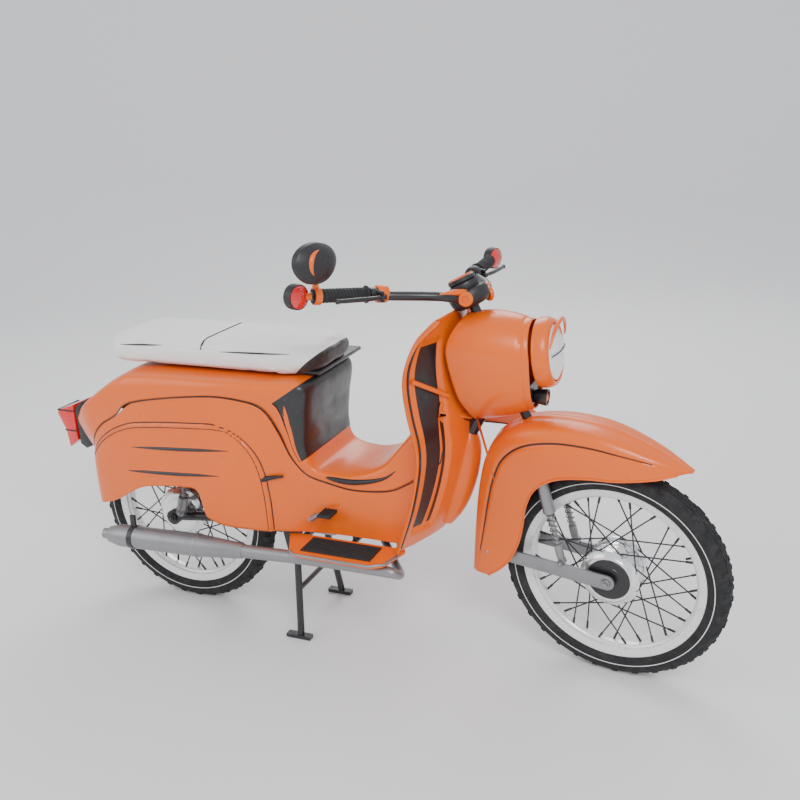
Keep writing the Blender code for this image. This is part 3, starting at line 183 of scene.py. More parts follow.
def tube(points, radius, sides=14, ends=True):
    """A round tube through points on a smooth curve, drawn ring by ring and bridged."""
    points = [Vector(p) for p in points]
    radii = radius if isinstance(radius, (list, tuple)) else [radius] * len(points)
    bm = bmesh.new()
    loops = []
    up = None
    for i, point in enumerate(points):
        ahead = (points[min(i + 1, len(points) - 1)] - points[max(i - 1, 0)]).normalized()
        up = ahead.orthogonal().normalized() if up is None else (up - ahead * up.dot(ahead)).normalized()
        turn = Matrix((up, ahead.cross(up), ahead)).transposed().to_4x4()
        made = bmesh.ops.create_circle(
            bm, cap_ends=False, radius=radii[i], segments=sides, matrix=Matrix.Translation(point) @ turn
        )
        loops.append(list({edge for vert in made["verts"] for edge in vert.link_edges}))
    for low, high in zip(loops, loops[1:]):
        bmesh.ops.bridge_loops(bm, edges=low + high)
    if ends:
        bmesh.ops.holes_fill(bm, edges=loops[0] + loops[-1], sides=0)
    return bm


def curve_points(points, count):
    """Points at even shares of a smooth curve through a few points."""
    rows = [tuple(p) for p in points]
    return [Vector(smooth_rows(rows, i / (count - 1))) for i in range(count)]


def slab(low, high, bevel=0.0):
    """A block between two corners, with rounded edges."""
    bm = bmesh.new()
    bmesh.ops.create_cube(bm, size=1.0)
    size = Vector(high) - Vector(low)
    bmesh.ops.scale(bm, vec=size, verts=bm.verts)
    bmesh.ops.translate(bm, vec=(Vector(low) + Vector(high)) / 2, verts=bm.verts)
    if bevel:
        bmesh.ops.bevel(
            bm, geom=bm.edges[:], offset=bevel, affect="EDGES", segments=3, profile=0.5, material=-1
        )
    return bm


def join(target, *others):
    """Adds the other meshes' shapes to the first."""
    for other in others:
        mesh = bpy.data.meshes.new("joined")
        other.to_mesh(mesh)
        other.free()
        target.from_mesh(mesh)
        bpy.data.meshes.remove(mesh)
    return target


# Materials.


class Finish:
    """A Principled surface whose colour, roughness and bump vary over the object."""

    def __init__(self, name, colour, roughness, metallic=0.0):
        self.material = bpy.data.materials.new(name)
        self.material.use_nodes = True
        self.nodes = self.material.node_tree.nodes
        self.links = self.material.node_tree.links
        self.shader = self.nodes["Principled BSDF"]
        self.shader.inputs["Base Color"].default_value = (*colour, 1.0)
        self.shader.inputs["Roughness"].default_value = roughness
        self.shader.inputs["Metallic"].default_value = metallic
        self.colour = colour
        self.coordinates = self.nodes.new("ShaderNodeTexCoord").outputs["Object"]
        self.colour_out = None
        self.bump_out = None

    def constant(self, **values):
        for name, value in values.items():
            self.shader.inputs[name.replace("_", " ").title()].default_value = value
        return self

    def noise(self, scale, detail=4.0, stretch=None):
        node = self.nodes.new("ShaderNodeTexNoise")
        node.inputs["Scale"].default_value = scale
        node.inputs["Detail"].default_value = detail
        source = self.coordinates
        if stretch:
            mapping = self.nodes.new("ShaderNodeMapping")
            mapping.inputs["Scale"].default_value = stretch
            self.links.new(source, mapping.inputs["Vector"])
            source = mapping.outputs["Vector"]
        self.links.new(source, node.inputs["Vector"])
        return node.outputs["Fac"]

    def spread(self, value, low, high, to_low, to_high):
        node = self.nodes.new("ShaderNodeMapRange")
        self.links.new(value, node.inputs["Value"])
        for name, number in (("From Min", low), ("From Max", high), ("To Min", to_low), ("To Max", to_high)):
            node.inputs[name].default_value = number
        return node.outputs["Result"]

    def tint(self, value, colour):
        """Mixes another colour in where the value is high."""
        mix = self.nodes.new("ShaderNodeMix")
        mix.data_type = "RGBA"
        self.links.new(value, mix.inputs["Factor"])
        if self.colour_out:
            self.links.new(self.colour_out, mix.inputs["A"])
        else:
            mix.inputs["A"].default_value = (*self.colour, 1.0)
        mix.inputs["B"].default_value = (*colour, 1.0)
        self.colour_out = mix.outputs["Result"]
        self.links.new(self.colour_out, self.shader.inputs["Base Color"])
        return self

    def rough(self, value, low, high):
        self.links.new(self.spread(value, 0.3, 0.7, low, high), self.shader.inputs["Roughness"])
        return self

    def bump(self, value, depth, strength=1.0):
        node = self.nodes.new("ShaderNodeBump")
        node.inputs["Distance"].default_value = depth
        node.inputs["Strength"].default_value = strength
        self.links.new(value, node.inputs["Height"])
        if self.bump_out:
            self.links.new(self.bump_out, node.inputs["Normal"])
        self.bump_out = node.outputs["Normal"]
        self.links.new(self.bump_out, self.shader.inputs["Normal"])
        return self

    def along(self, axis):
        node = self.nodes.new("ShaderNodeSeparateXYZ")
        self.links.new(self.coordinates, node.inputs["Vector"])
        return node.outputs[axis]


def body_paint(colour):
    """Solid two-pack paint: faint colour drift, orange peel and a clear gloss."""
    finish = Finish("body paint", colour, 0.32)
    deeper = tuple(c * 0.82 for c in colour)
    finish.tint(finish.spread(finish.noise(2.2, 3.0), 0.45, 0.75, 0.0, 0.35), deeper)
    finish.tint(
        finish.spread(finish.noise(38.0, 6.0), 0.66, 0.80, 0.0, 0.12),
        tuple(0.25 + 0.75 * c for c in colour),
    )
    finish.rough(finish.noise(9.0), 0.26, 0.40)
    finish.bump(finish.noise(420.0, 2.0), 0.0002, 0.25)
    return finish.constant(Coat_weight=0.15, Coat_roughness=0.08).material


def black_enamel():
    finish = Finish("black enamel", (0.012, 0.012, 0.014), 0.35, 0.0)
    finish.tint(finish.spread(finish.noise(60.0, 8.0), 0.62, 0.78, 0.0, 0.35), (0.09, 0.085, 0.08))
    finish.rough(finish.noise(24.0), 0.28, 0.50)
    return finish.bump(finish.noise(300.0), 0.0002, 0.3).constant(Coat_weight=0.3).material


def grip_rubber():
    finish = Finish("grip rubber", (0.016, 0.016, 0.017), 0.75)
    finish.tint(finish.spread(finish.noise(80.0), 0.5, 0.8, 0.0, 0.4), (0.05, 0.05, 0.05))
    finish.rough(finish.noise(40.0), 0.62, 0.85)
    return finish.bump(finish.noise(700.0), 0.0003, 0.5).material


def tyre_rubber():
    finish = Finish("tyre rubber", (0.013, 0.013, 0.014), 0.8)
    finish.tint(finish.spread(finish.noise(30.0, 6.0), 0.55, 0.8, 0.0, 0.45), (0.065, 0.06, 0.055))
    finish.rough(finish.noise(55.0), 0.62, 0.9)
    return finish.bump(finish.noise(500.0), 0.0004, 0.45).material


def grey_steel():
    finish = Finish("satin grey steel", (0.30, 0.30, 0.31), 0.38, 0.75)
    finish.tint(finish.spread(finish.noise(14.0, 7.0), 0.55, 0.78, 0.0, 0.45), (0.17, 0.16, 0.15))
    finish.rough(finish.noise(120.0, 3.0, (1, 8, 8)), 0.28, 0.50)
    return finish.bump(finish.noise(260.0, 3.0, (1, 10, 10)), 0.0002, 0.3).material


def polished_alloy():
    finish = Finish("polished alloy", (0.86, 0.87, 0.88), 0.18, 0.9)
    finish.tint(finish.spread(finish.noise(18.0, 6.0), 0.55, 0.8, 0.0, 0.3), (0.55, 0.55, 0.55))
    finish.rough(finish.noise(80.0), 0.12, 0.30)
    return finish.bump(finish.noise(500.0, 2.0), 0.0001, 0.2).material


def white_rim_finish():
    finish = Finish("silver-white rim", (0.86, 0.86, 0.86), 0.28, 0.35)
    finish.tint(finish.spread(finish.noise(26.0, 6.0), 0.58, 0.8, 0.0, 0.35), (0.50, 0.49, 0.47))
    finish.rough(finish.noise(60.0), 0.2, 0.4)
    return finish.bump(finish.noise(400.0), 0.0001, 0.2).constant(Coat_weight=0.3).material


def cast_alloy():
    finish = Finish("cast alloy", (0.40, 0.41, 0.42), 0.55, 0.85)
    finish.tint(finish.spread(finish.noise(22.0, 8.0), 0.5, 0.75, 0.0, 0.6), (0.15, 0.145, 0.14))
    finish.rough(finish.noise(50.0), 0.42, 0.72)
    return finish.bump(finish.noise(650.0, 5.0), 0.0005, 0.5).material


def seat_vinyl(colour, front_x):
    """Grained vinyl, white with a black nose that runs up to the seat's front edge."""
    finish = Finish("seat vinyl", colour, 0.5)
    grain = finish.nodes.new("ShaderNodeTexVoronoi")
    grain.feature = "DISTANCE_TO_EDGE"
    grain.inputs["Scale"].default_value = 520.0
    finish.links.new(finish.coordinates, grain.inputs["Vector"])
    finish.tint(finish.spread(finish.noise(7.0, 5.0), 0.5, 0.8, 0.0, 0.35), (0.70, 0.68, 0.64))
    # Painted shade: black ahead of a slanted line at the seat's front, reaching further back lower down, for
    # the shadowed front face.
    drop = finish.nodes.new("ShaderNodeMath")
    drop.operation = "MULTIPLY_ADD"
    finish.links.new(finish.along("Z"), drop.inputs[0])
    drop.inputs[1].default_value = -1.15
    finish.links.new(finish.along("X"), drop.inputs[2])
    edge = front_x - 1.15 * 0.762
    finish.tint(finish.spread(drop.outputs[0], edge - 0.0008, edge + 0.0008, 0.0, 1.0), (0.012, 0.012, 0.013))
    finish.rough(finish.noise(30.0), 0.40, 0.58)
    return finish.bump(grain.outputs["Distance"], 0.0003, 0.35).constant(Sheen_weight=0.15).material


def red_lens_finish():
    finish = Finish("red lens", (0.78, 0.008, 0.008), 0.12)
    rings = finish.nodes.new("ShaderNodeTexWave")
    rings.bands_direction = "Z"
    rings.inputs["Scale"].default_value = 42.0
    finish.links.new(finish.coordinates, rings.inputs["Vector"])
    finish.tint(finish.spread(finish.noise(20.0), 0.5, 0.8, 0.0, 0.3), (0.45, 0.0, 0.0))
    finish.bump(rings.outputs["Fac"], 0.0008, 0.5)
    return finish.constant(Coat_weight=1.0, Coat_roughness=0.05, Subsurface_weight=0.15).material


def lamp_glass():
    """A pressed headlight glass: bright, with fine upright flutes."""
    finish = Finish("lamp glass", (0.93, 0.95, 0.96), 0.10)
    flutes = finish.nodes.new("ShaderNodeTexWave")
    flutes.bands_direction = "Y"
    flutes.inputs["Scale"].default_value = 34.0
    finish.links.new(finish.coordinates, flutes.inputs["Vector"])
    finish.tint(finish.spread(finish.noise(12.0), 0.5, 0.8, 0.0, 0.4), (0.72, 0.78, 0.82))
    finish.bump(flutes.outputs["Fac"], 0.0009, 0.6)
    return finish.constant(Coat_weight=1.0, Coat_roughness=0.03, Transmission_weight=0.12).material


def mirror_glass():
    finish = Finish("mirror glass", (0.80, 0.84, 0.86), 0.04, 1.0)
    return finish.tint(finish.spread(finish.noise(9.0), 0.6, 0.8, 0.0, 0.2), (0.6, 0.64, 0.66)).material


def black_plastic():
    finish = Finish("black plastic", (0.018, 0.018, 0.02), 0.5)
    finish.tint(finish.spread(finish.noise(90.0), 0.55, 0.8, 0.0, 0.4), (0.05, 0.05, 0.052))
    finish.rough(finish.noise(60.0), 0.38, 0.6)
    return finish.bump(finish.noise(900.0), 0.0002, 0.4).material


def dial_face():
    finish = Finish("dial face", (0.02, 0.02, 0.022), 0.35)
    return finish.tint(finish.spread(finish.noise(60.0), 0.55, 0.8, 0.0, 0.2), (0.08, 0.08, 0.08)).material


# Painted highlight: white for the thin sidewall rings that stand in for light on the tread edges.
def highlight_white():
    finish = Finish("painted highlight white", (0.84, 0.84, 0.82), 0.6)
    finish.tint(finish.spread(finish.noise(50.0), 0.5, 0.8, 0.0, 0.4), (0.66, 0.65, 0.62))
    return finish.bump(finish.noise(300.0), 0.0002, 0.3).material


LOOKS = {}


def look(name):
    """A finish by name, made the first time it is asked for."""
    if name not in LOOKS:
        moped = bpy.context.scene.moped
        makers = {
            "paint": lambda: body_paint(tuple(moped.paint_colour)),
            "enamel": black_enamel, "rubber": grip_rubber, "tyre": tyre_rubber, "steel": grey_steel,
            "alloy": polished_alloy, "rim": white_rim_finish, "cast": cast_alloy, "red": red_lens_finish,
            "glass": lamp_glass, "mirror": mirror_glass, "plastic": black_plastic, "dial": dial_face,
            "white": highlight_white,
            "seat": lambda: seat_vinyl(tuple(moped.seat_colour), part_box("seat_cushion")[1][0] - 0.046),
        }
        LOOKS[name] = makers[name]()
    return LOOKS[name]


# Bodywork.

BODY_ROWS = [
    (-0.880, 0.552, -0.812, 0.450, 0.100), (-0.826, 0.599, -0.785, 0.508, 0.138),
    (-0.768, 0.639, -0.745, 0.556, 0.152), (-0.690, 0.688, -0.685, 0.592, 0.160),
    (-0.610, 0.712, -0.620, 0.636, 0.165), (-0.380, 0.716, -0.400, 0.672, 0.168),
    (-0.250, 0.716, -0.280, 0.666, 0.160), (-0.128, 0.712, -0.235, 0.642, 0.150),
    (-0.130, 0.620, -0.205, 0.588, 0.140), (-0.138, 0.550, -0.180, 0.525, 0.135),
    (-0.124, 0.497, -0.145, 0.479, 0.128), (-0.070, 0.482, -0.091, 0.459, 0.121),
    (-0.010, 0.488, -0.020, 0.447, 0.118), (0.050, 0.516, 0.070, 0.456, 0.118),
    (0.096, 0.568, 0.118, 0.478, 0.118), (0.140, 0.620, 0.165, 0.510, 0.117),
    (0.190, 0.668, 0.215, 0.550, 0.112), (0.225, 0.695, 0.250, 0.576, 0.108),
]
ARCH = [(0.0, 1.0), (0.40, 1.0), (0.76, 0.965), (0.94, 0.86), (1.0, 0.55), (1.0, 0.28), (1.0, 0.0)]
SEAM = [
    (-0.812, 0.446), (-0.785, 0.504), (-0.745, 0.552), (-0.685, 0.588), (-0.620, 0.632), (-0.400, 0.668),
    (-0.280, 0.662), (-0.235, 0.638), (-0.205, 0.584), (-0.180, 0.521), (-0.145, 0.475), (-0.091, 0.455),
    (-0.020, 0.443), (0.070, 0.452), (0.118, 0.474), (0.165, 0.506), (0.215, 0.546), (0.250, 0.572),
]
COVER_EDGE = [
    (-0.812, 0.322), (-0.780, 0.324), (-0.715, 0.346), (-0.625, 0.396), (-0.560, 0.410), (-0.480, 0.417),
    (-0.440, 0.408), (-0.420, 0.340), (-0.280, 0.322), (0.085, 0.318), (0.250, 0.318),
]
COVER_WIDTH = [
    (-0.812, 0.100), (-0.785, 0.138), (-0.745, 0.152), (-0.685, 0.160), (-0.620, 0.165), (-0.400, 0.168),
    (-0.280, 0.163), (-0.205, 0.146), (-0.145, 0.128), (-0.091, 0.121), (-0.020, 0.118), (0.118, 0.118),
    (0.165, 0.117), (0.215, 0.112), (0.250, 0.108),
]
PANEL_TOP = [
    (-0.790, 0.470), (-0.745, 0.520), (-0.690, 0.556), (-0.620, 0.580), (-0.400, 0.600), (-0.300, 0.600),
]
PANEL_FRONT = [
    (0.300, -0.232), (0.420, -0.236), (0.500, -0.250), (0.550, -0.278), (0.585, -0.325), (0.600, -0.380),
]
SHIELD_EDGE = [
    (0.292, 0.094), (0.360, 0.120), (0.450, 0.150), (0.550, 0.170), (0.605, 0.170), (0.675, 0.154),
    (0.744, 0.145), (0.791, 0.151), (0.850, 0.177), (0.890, 0.214),
]
SHIELD_KEEL = [(0.292, 0.155), (0.398, 0.208), (0.530, 0.246), (0.620, 0.250), (0.750, 0.238), (0.890, 0.222)]
SHIELD_HALF = [
    (0.290, 0.188), (0.325, 0.190), (0.360, 0.196), (0.450, 0.202), (0.550, 0.205), (0.675, 0.205),
    (0.744, 0.204), (0.791, 0.200), (0.850, 0.185), (0.890, 0.150),
]
FENDER_ROWS = [
    (0.775, 0.564, 0.762, 0.561, 0.012), (0.702, 0.598, 0.705, 0.551, 0.046),
    (0.624, 0.628, 0.625, 0.541, 0.066),
    (0.556, 0.644, 0.555, 0.538, 0.073), (0.470, 0.648, 0.483, 0.524, 0.075),
    (0.385, 0.634, 0.432, 0.490, 0.075),
    (0.325, 0.598, 0.408, 0.440, 0.075), (0.292, 0.540, 0.399, 0.385, 0.075),
    (0.274, 0.465, 0.388, 0.340, 0.075),
    (0.263, 0.380, 0.366, 0.290, 0.074), (0.256, 0.300, 0.335, 0.252, 0.071),
    (0.250, 0.228, 0.300, 0.222, 0.064),
]
SHEET = 0.0025


def ease(value):
    value = min(max(value, 0.0), 1.0)
    return value * value * (3 - 2 * value)


def hump(value):
    """A smooth bump that is one at nought and nothing from one on."""
    return 1.0 - ease(abs(value))


def shield_x(y, height):
    """How far forward the shield's front face stands at a distance from the middle."""
    keel = value_at(SHIELD_KEEL, height)
    half = value_at(SHIELD_HALF, height)
    return keel - (keel - value_at(SHIELD_EDGE, height)) * min(abs(y) / half, 1.0) ** 1.35


def arch_point(row, across, section=ARCH):
    """A point on an arched panel, across running from -1 at the right edge to 1 at the left."""
    sx, sz, ex, ez, half = row
    w, h = smooth_rows(section, abs(across))
    return Vector((ex + (sx - ex) * h, math.copysign(half * w, across), ez + (sz - ez) * h))


def upper_body_point(u, v):
    point = arch_point(smooth_rows(BODY_ROWS, v), 2 * u - 1)
    point.x = min(point.x, shield_x(point.y, point.z) - 0.006)
    return point


def make_upper_body():
    bm = formed_sheet(upper_body_point, 61, 190)
    obj = add_piece("upper_body_shell", bm, "paint", "chassis", ["upper_body"])
    flip_to(obj, Z)
    thicken(obj, SHEET)
    return obj


def flip_to(obj, direction):
    """Turns an open sheet's faces so that their average normal points along a direction."""
    total = sum((face.normal * face.area for face in obj.data.polygons), Vector())
    if total.dot(Vector(direction)) < 0:
        obj.data.flip_normals()


def cover_point(u, v):
    x = -0.812 + 1.062 * u
    low = value_at(COVER_EDGE, x)
    top = value_at(SEAM, x)
    z = low + v * (top - low)
    inside = min(value_at(PANEL_FRONT, z) - x, value_at(PANEL_TOP, x) - z)
    rise = 0.006 * ease(inside / 0.007) - 0.0018 * hump((inside - 0.014) / 0.0045)
    y = value_at(COVER_WIDTH, x) + rise + 0.003 * math.sin(math.pi * v) * ease((-x - 0.1) * 4)
    knee = 0.010 * hump((x + 0.075) / 0.055) * hump((z - 0.400) / 0.050)
    point = Vector((x, -(y + knee), z))
    point.x = min(point.x, shield_x(point.y, z) - 0.006)
    return point


def make_side_covers():
    for side, name, node in (
        (1, "right_side_cover", "side_cover_right"), (-1, "left_side_cover", "side_cover_left"),
    ):
        bm = formed_sheet(cover_point, 230, 64)
        bmesh.ops.scale(bm, vec=(1, side, 1), verts=bm.verts)
        obj = add_piece(name, bm, "paint", "chassis", [node])
        flip_to(obj, (0, -side, 0))
        thicken(obj, SHEET)
        for start, end in (((-0.635, 0.512), (-0.318, 0.536)), ((-0.655, 0.442), (-0.352, 0.464))):
            add_louvre(f"{name}_louvre_{int(1000 * start[1])}", start, end, side)
        add_panel_lines(name, side)
        latch = tube(
            curve_points([(-0.252, -0.160, 0.462), (-0.225, -0.158, 0.470), (-0.196, -0.152, 0.474)], 9),
            [0.0075 - 0.0006 * i for i in range(9)], 12,
        )
        if side < 0:
            latch = mirrored(latch)
        add_piece(f"{name}_latch", latch, "plastic", "chassis")


def add_panel_lines(name, side):
    """Two dark creases that follow the raised panel's top and front edge."""
    for number, inset, radius in ((1, 0.001, 0.0017), (2, 0.0135, 0.0012)):
        line = []
        for i in range(60):
            x = -0.785 + 0.405 * i / 59
            line.append((x, value_at(PANEL_TOP, x) - inset))
        for i in range(1, 40):
            z = 0.600 - 0.275 * i / 39
            front = value_at(PANEL_FRONT, z) - inset
            if front > line[-1][0] and z < line[-1][1]:
                line.append((front, z))
        points = []
        for x, z in line:
            share = (z - value_at(COVER_EDGE, x)) / max(value_at(SEAM, x) - value_at(COVER_EDGE, x), 0.001)
            if 0.0 < share < 1.0:
                points.append(cover_point((x + 0.812) / 1.062, share) + Vector((0, -0.0004, 0)))
        # Painted shade: a thin black tube in the crease, where shade falls.
        crease = tube(points, radius, 8)
        if side < 0:
            crease = mirrored(crease)
        add_piece(f"{name}_crease_{number}", crease, "enamel", "chassis")


def make_body_trim():
    """The dark facing on the seat tower's front and the dark flashes along the tunnel."""

    def facing_point(u, v):
        share = 0.405 + 0.150 * v
        point = upper_body_point(0.5 + (u - 0.5) * 0.86, share)
        return point + Vector((0.0016, 0, 0.0004))

    # Painted shade: a black sheet laid over the tower's front face, which lies in shade.
    facing = add_piece("tower_painted_shade", formed_sheet(facing_point, 40, 50), "enamel", "chassis")
    flip_to(facing, (1, 0, 0.2))
    thicken(facing, 0.001)
    for side in (-1, 1):
        line = []
        for i in range(40):
            v = 0.635 + 0.170 * i / 39
            line.append(upper_body_point(0.5 + side * 0.5 * 0.70, v) + Vector((0, side * 0.0004, 0.0006)))
        # Painted shadow: a dark tapered strip along each side of the tunnel's top, for the shadow under the
        # raised spine.
        flash = tube(line, [0.0010 + 0.0060 * math.sin(math.pi * (i / 39) ** 0.6) for i in range(40)], 12)
        where = "left" if side > 0 else "right"
        add_piece(f"tunnel_painted_shadow_{where}", flash, "enamel", "chassis")
        seam = []
        for i in range(120):
            seam.append(
                upper_body_point(0.5 + side * 0.5, 0.02 + 0.97 * i / 119)
                + Vector((0, side * 0.0002, -0.0020)),
            )
        add_piece(f"body_seam_{where}", tube(seam, 0.0016, 8), "enamel", "chassis")


def mirrored(bm):
    bmesh.ops.scale(bm, vec=(1, -1, 1), verts=bm.verts)
    bmesh.ops.recalc_face_normals(bm, faces=bm.faces)
    return bm


def add_louvre(name, start, end, side):
    """A long tapered air slot: a dark recess under a pressed lip."""
    count = 21
    rows = []
    for i in range(count):
        share = i / (count - 1)
        x = start[0] + (end[0] - start[0]) * share
        z = start[1] + (end[1] - start[1]) * share
        rows.append(Vector((x, -(value_at(COVER_WIDTH, x) + 0.0075), z)))
    widths = [0.0007 + 0.0046 * math.sin(math.pi * (0.06 + 0.94 * i / (count - 1))) for i in range(count)]
    # Painted shade: the black slot tube stands in for the shaded recess.
    slot = tube(rows, widths, 12)
    lip = tube([p + Vector((0, 0.001, 0.0055)) for p in rows], [w * 0.62 for w in widths], 10)
    if side < 0:
        slot = mirrored(slot)
        lip = mirrored(lip)
    add_piece(name, slot, "enamel", "chassis")
    add_piece(name + "_lip", lip, "paint", "chassis")


def shield_point(u, v):
    """The shield's front face: a rolled outer edge, a recess on each side and a middle ridge."""
    z = 0.325 + 0.565 * v
    across = 2 * u - 1
    half = value_at(SHIELD_HALF, z)
    y = half * across
    x = shield_x(y, z)
    share = abs(across)
    x += 0.016 * ease((share - 0.93) / 0.07)
    recess = ease(
        (share - 0.42) / 0.05,
    ) * ease((0.80 - share) / 0.05) * ease((v - 0.06) / 0.05) * ease((0.93 - v) / 0.05)
    return Vector((x - 0.010 * recess, y, z))


def make_leg_shield():
    bm = formed_sheet(shield_point, 120, 90)
    obj = add_piece("leg_shield_panel", bm, "paint", "chassis", ["leg_shield"])
    flip_to(obj, (1, 0, 0))
    thicken(obj, 0.003)
    for side in (-1, 1):
        # Painted shade: a black lining in each side recess, where shade falls.
        def recess_point(u, v, side=side):
            z = 0.362 + 0.486 * v
            share = 0.465 + 0.300 * u
            y = value_at(SHIELD_HALF, z) * share
            return Vector((shield_x(y, z) - 0.0085, side * y, z))
        panel = add_piece(
            f"shield_recess_painted_shade_{'left' if side > 0 else 'right'}", formed_sheet(recess_point, 14, 40),
            "enamel", "chassis",
        )
        flip_to(panel, (1, 0, 0))
        thicken(panel, 0.001)
        brace = []
        for height, share in ((0.700, 0.40), (0.725, 0.60), (0.758, 0.86)):
            y = value_at(SHIELD_HALF, height) * share
            brace.append(Vector((shield_x(y, height) + 0.004, side * y, height)))
        bar = tube(curve_points(brace, 9), 0.0058, 12)
        add_piece(f"shield_brace_{'left' if side > 0 else 'right'}", bar, "paint", "chassis")
        # Painted shade: a black tube along the crease where the rolled outer edge turns forward.
        bead = []
        for i in range(31):
            z = 0.335 + 0.535 * i / 30
            y = value_at(SHIELD_HALF, z) * 0.885
            bead.append(Vector((shield_x(y, z) + 0.0008, side * y, z)))
        edge = tube(bead, 0.0028, 10)
        add_piece(f"shield_bead_painted_shade_{'left' if side > 0 else 'right'}", edge, "enamel", "chassis")
    ridge = []
    for z in (0.345, 0.400, 0.470, 0.540, 0.590):
        ridge.append(Vector((value_at(SHIELD_KEEL, z) - 0.006, 0, z)))
    spine = tube(
        curve_points(ridge, 25),
        [0.034 * math.sin(math.pi * (0.10 + 0.85 * i / 24)) ** 0.5 for i in range(25)], 24,
    )
    bmesh.ops.scale(spine, vec=(1, 1.25, 1), verts=spine.verts)
    add_piece("shield_ridge", spine, "paint", "chassis")


def fender_point(u, v):
    row = smooth_rows(FENDER_ROWS, v)
    across = 2 * u - 1
    section = [(0.0, 1.0), (0.45, 0.99), (0.80, 0.92), (0.96, 0.70), (1.0, 0.42), (1.0, 0.0)]
    point = arch_point(row, across, section)
    crease = hump((abs(across) - 0.60) / 0.035) * ease((v - 0.06) / 0.1) * ease((0.96 - v) / 0.1)
    spine = Vector((row[0], 0, row[1])) - Vector((row[2], 0, row[3]))
    return point + spine.normalized() * (0.0035 * hump(across / 0.10) * ease(v * 8)) - Vector(
        (0, math.copysign(0.0035 * crease, across), 0),
    )


def make_fender():
    obj = add_piece(
        "front_mudguard", formed_sheet(fender_point, 81, 150), "paint", "steering", ["front_fender"],
        place=STEERED,
    )
    flip_to(obj, (0.3, 0, 1))
    thicken(obj, SHEET)
    for side in (-1, 1):
        line = []
        for i in range(40):
            v = 0.10 + 0.80 * i / 39
            line.append(fender_point(0.5 + side * 0.5 * 0.60, v) + Vector((0, side * 0.0006, 0)))
        # Painted shade: a thin black tube laid in each side crease of the mudguard.
        dark = tube(
            line, [0.0022 * math.sin(math.pi * (0.04 + 0.92 * i / 39)) ** 0.5 + 0.0004 for i in range(40)],
            8,
        )
        add_piece(
            f"mudguard_crease_painted_shade_{'left' if side > 0 else 'right'}", dark, "enamel", "steering", place=STEERED,
        )
        rim = []
        for i in range(50):
            rim.append(fender_point(0.5 + side * 0.5, 0.03 + 0.97 * i / 49))
        edge = tube(rim, 0.0024, 8)
        add_piece(
            f"mudguard_edge_{'left' if side > 0 else 'right'}", edge, "paint", "steering", place=STEERED,
        )


LAMP_AXIS = Vector((1, 0, 0.10)).normalized()
LAMP = Vector((0.412, 0, 0.795))
LAMP_RADIUS = 0.077


def cowl_point(u, v):
    """Round the cowl by u, from the shield forward to the lamp by v."""
    angle = 2 * math.pi * u
    across, up = math.cos(angle), math.sin(angle)
    drop = 0.075 + 0.110 * ease((0.25 - up) / 0.9)
    width = 0.098 - 0.018 * ease((-up - 0.6) / 0.4)
    rear = Vector((0.246 + 0.018 * ease(-up) - 0.026 * across**2, width * across, 0.806 + drop * up))
    reach = 0.077 + 0.056 * ease(-up * 1.6)
    front = Vector((0.409 - 0.010 * max(up, 0.0), LAMP_RADIUS * across, 0.795 + reach * up))
    bow = math.sin(math.pi * v)
    point = rear.lerp(front, v) + Vector((0, 0.006 * bow * across, 0.008 * bow * up + 0.003 * bow))
    lip = hump((v - 0.90) / 0.035)
    return point - Vector((0, across, up)) * 0.0022 * lip


def make_cowl():
    bm = formed_sheet(cowl_point, 97, 48)
    bmesh.ops.remove_doubles(bm, verts=bm.verts, dist=0.0003)
    obj = add_piece("headlight_cowl", bm, "paint", "chassis", ["front_cowl"])
    flip_outward(obj, Vector((0.32, 0, 0.79)) + SHIFT)
    thicken(obj, SHEET)
    size = LAMP_RADIUS
    rim = [
        (0.003, size + 0.002), (0.010, size + 0.0045), (0.026, size + 0.004), (0.038, size - 0.001),
        (0.042, size - 0.007),
        (0.040, size - 0.011), (0.030, size - 0.012), (0.003, size - 0.011),
    ]
    ring = add_piece("headlight_ring", spun(rim, LAMP, LAMP_AXIS, 72), "paint", "chassis", ["headlight_rim"])
    round_edges(ring, 0.001)
    glass = [
        (0.031, size - 0.0125), (0.040, size - 0.014), (0.047, size * 0.62), (0.0515, size * 0.35),
        (0.053, 0.0), (0.046, 0.0), (0.040, size * 0.62), (0.028, size - 0.020),
    ]
    add_piece("headlight_lens", spun(glass, LAMP, LAMP_AXIS, 72), "glass", "chassis", ["headlight_glass"])
    split = tube(
        [
            LAMP + LAMP_AXIS * (0.0535 - 2.1 * y * y) + Vector((0, y, 0.004))
            for y in [-0.060 + 0.010 * i for i in range(13)]
        ],
        0.0013, 8,
    )
    add_piece("headlight_dip_line", split, "plastic", "chassis")
    hood = []
    for i in range(25):
        angle = math.radians(20 + 140 * i / 24)
        side = Vector((0, math.cos(angle), math.sin(angle)))
        hood.append(LAMP + LAMP_AXIS * (0.040 + 0.010 * math.sin(angle)) + side * (size - 0.002))
    add_piece(
        "headlight_hood", tube(hood, [0.002 + 0.0035 * math.sin(math.pi * i / 24) for i in range(25)], 12),
        "paint", "chassis",
    )


def flip_outward(obj, centre):
    """Turns a sheet's faces to point away from a point."""
    total = sum((face.center - centre).dot(face.normal) * face.area for face in obj.data.polygons)
    if total < 0:
        obj.data.flip_normals()


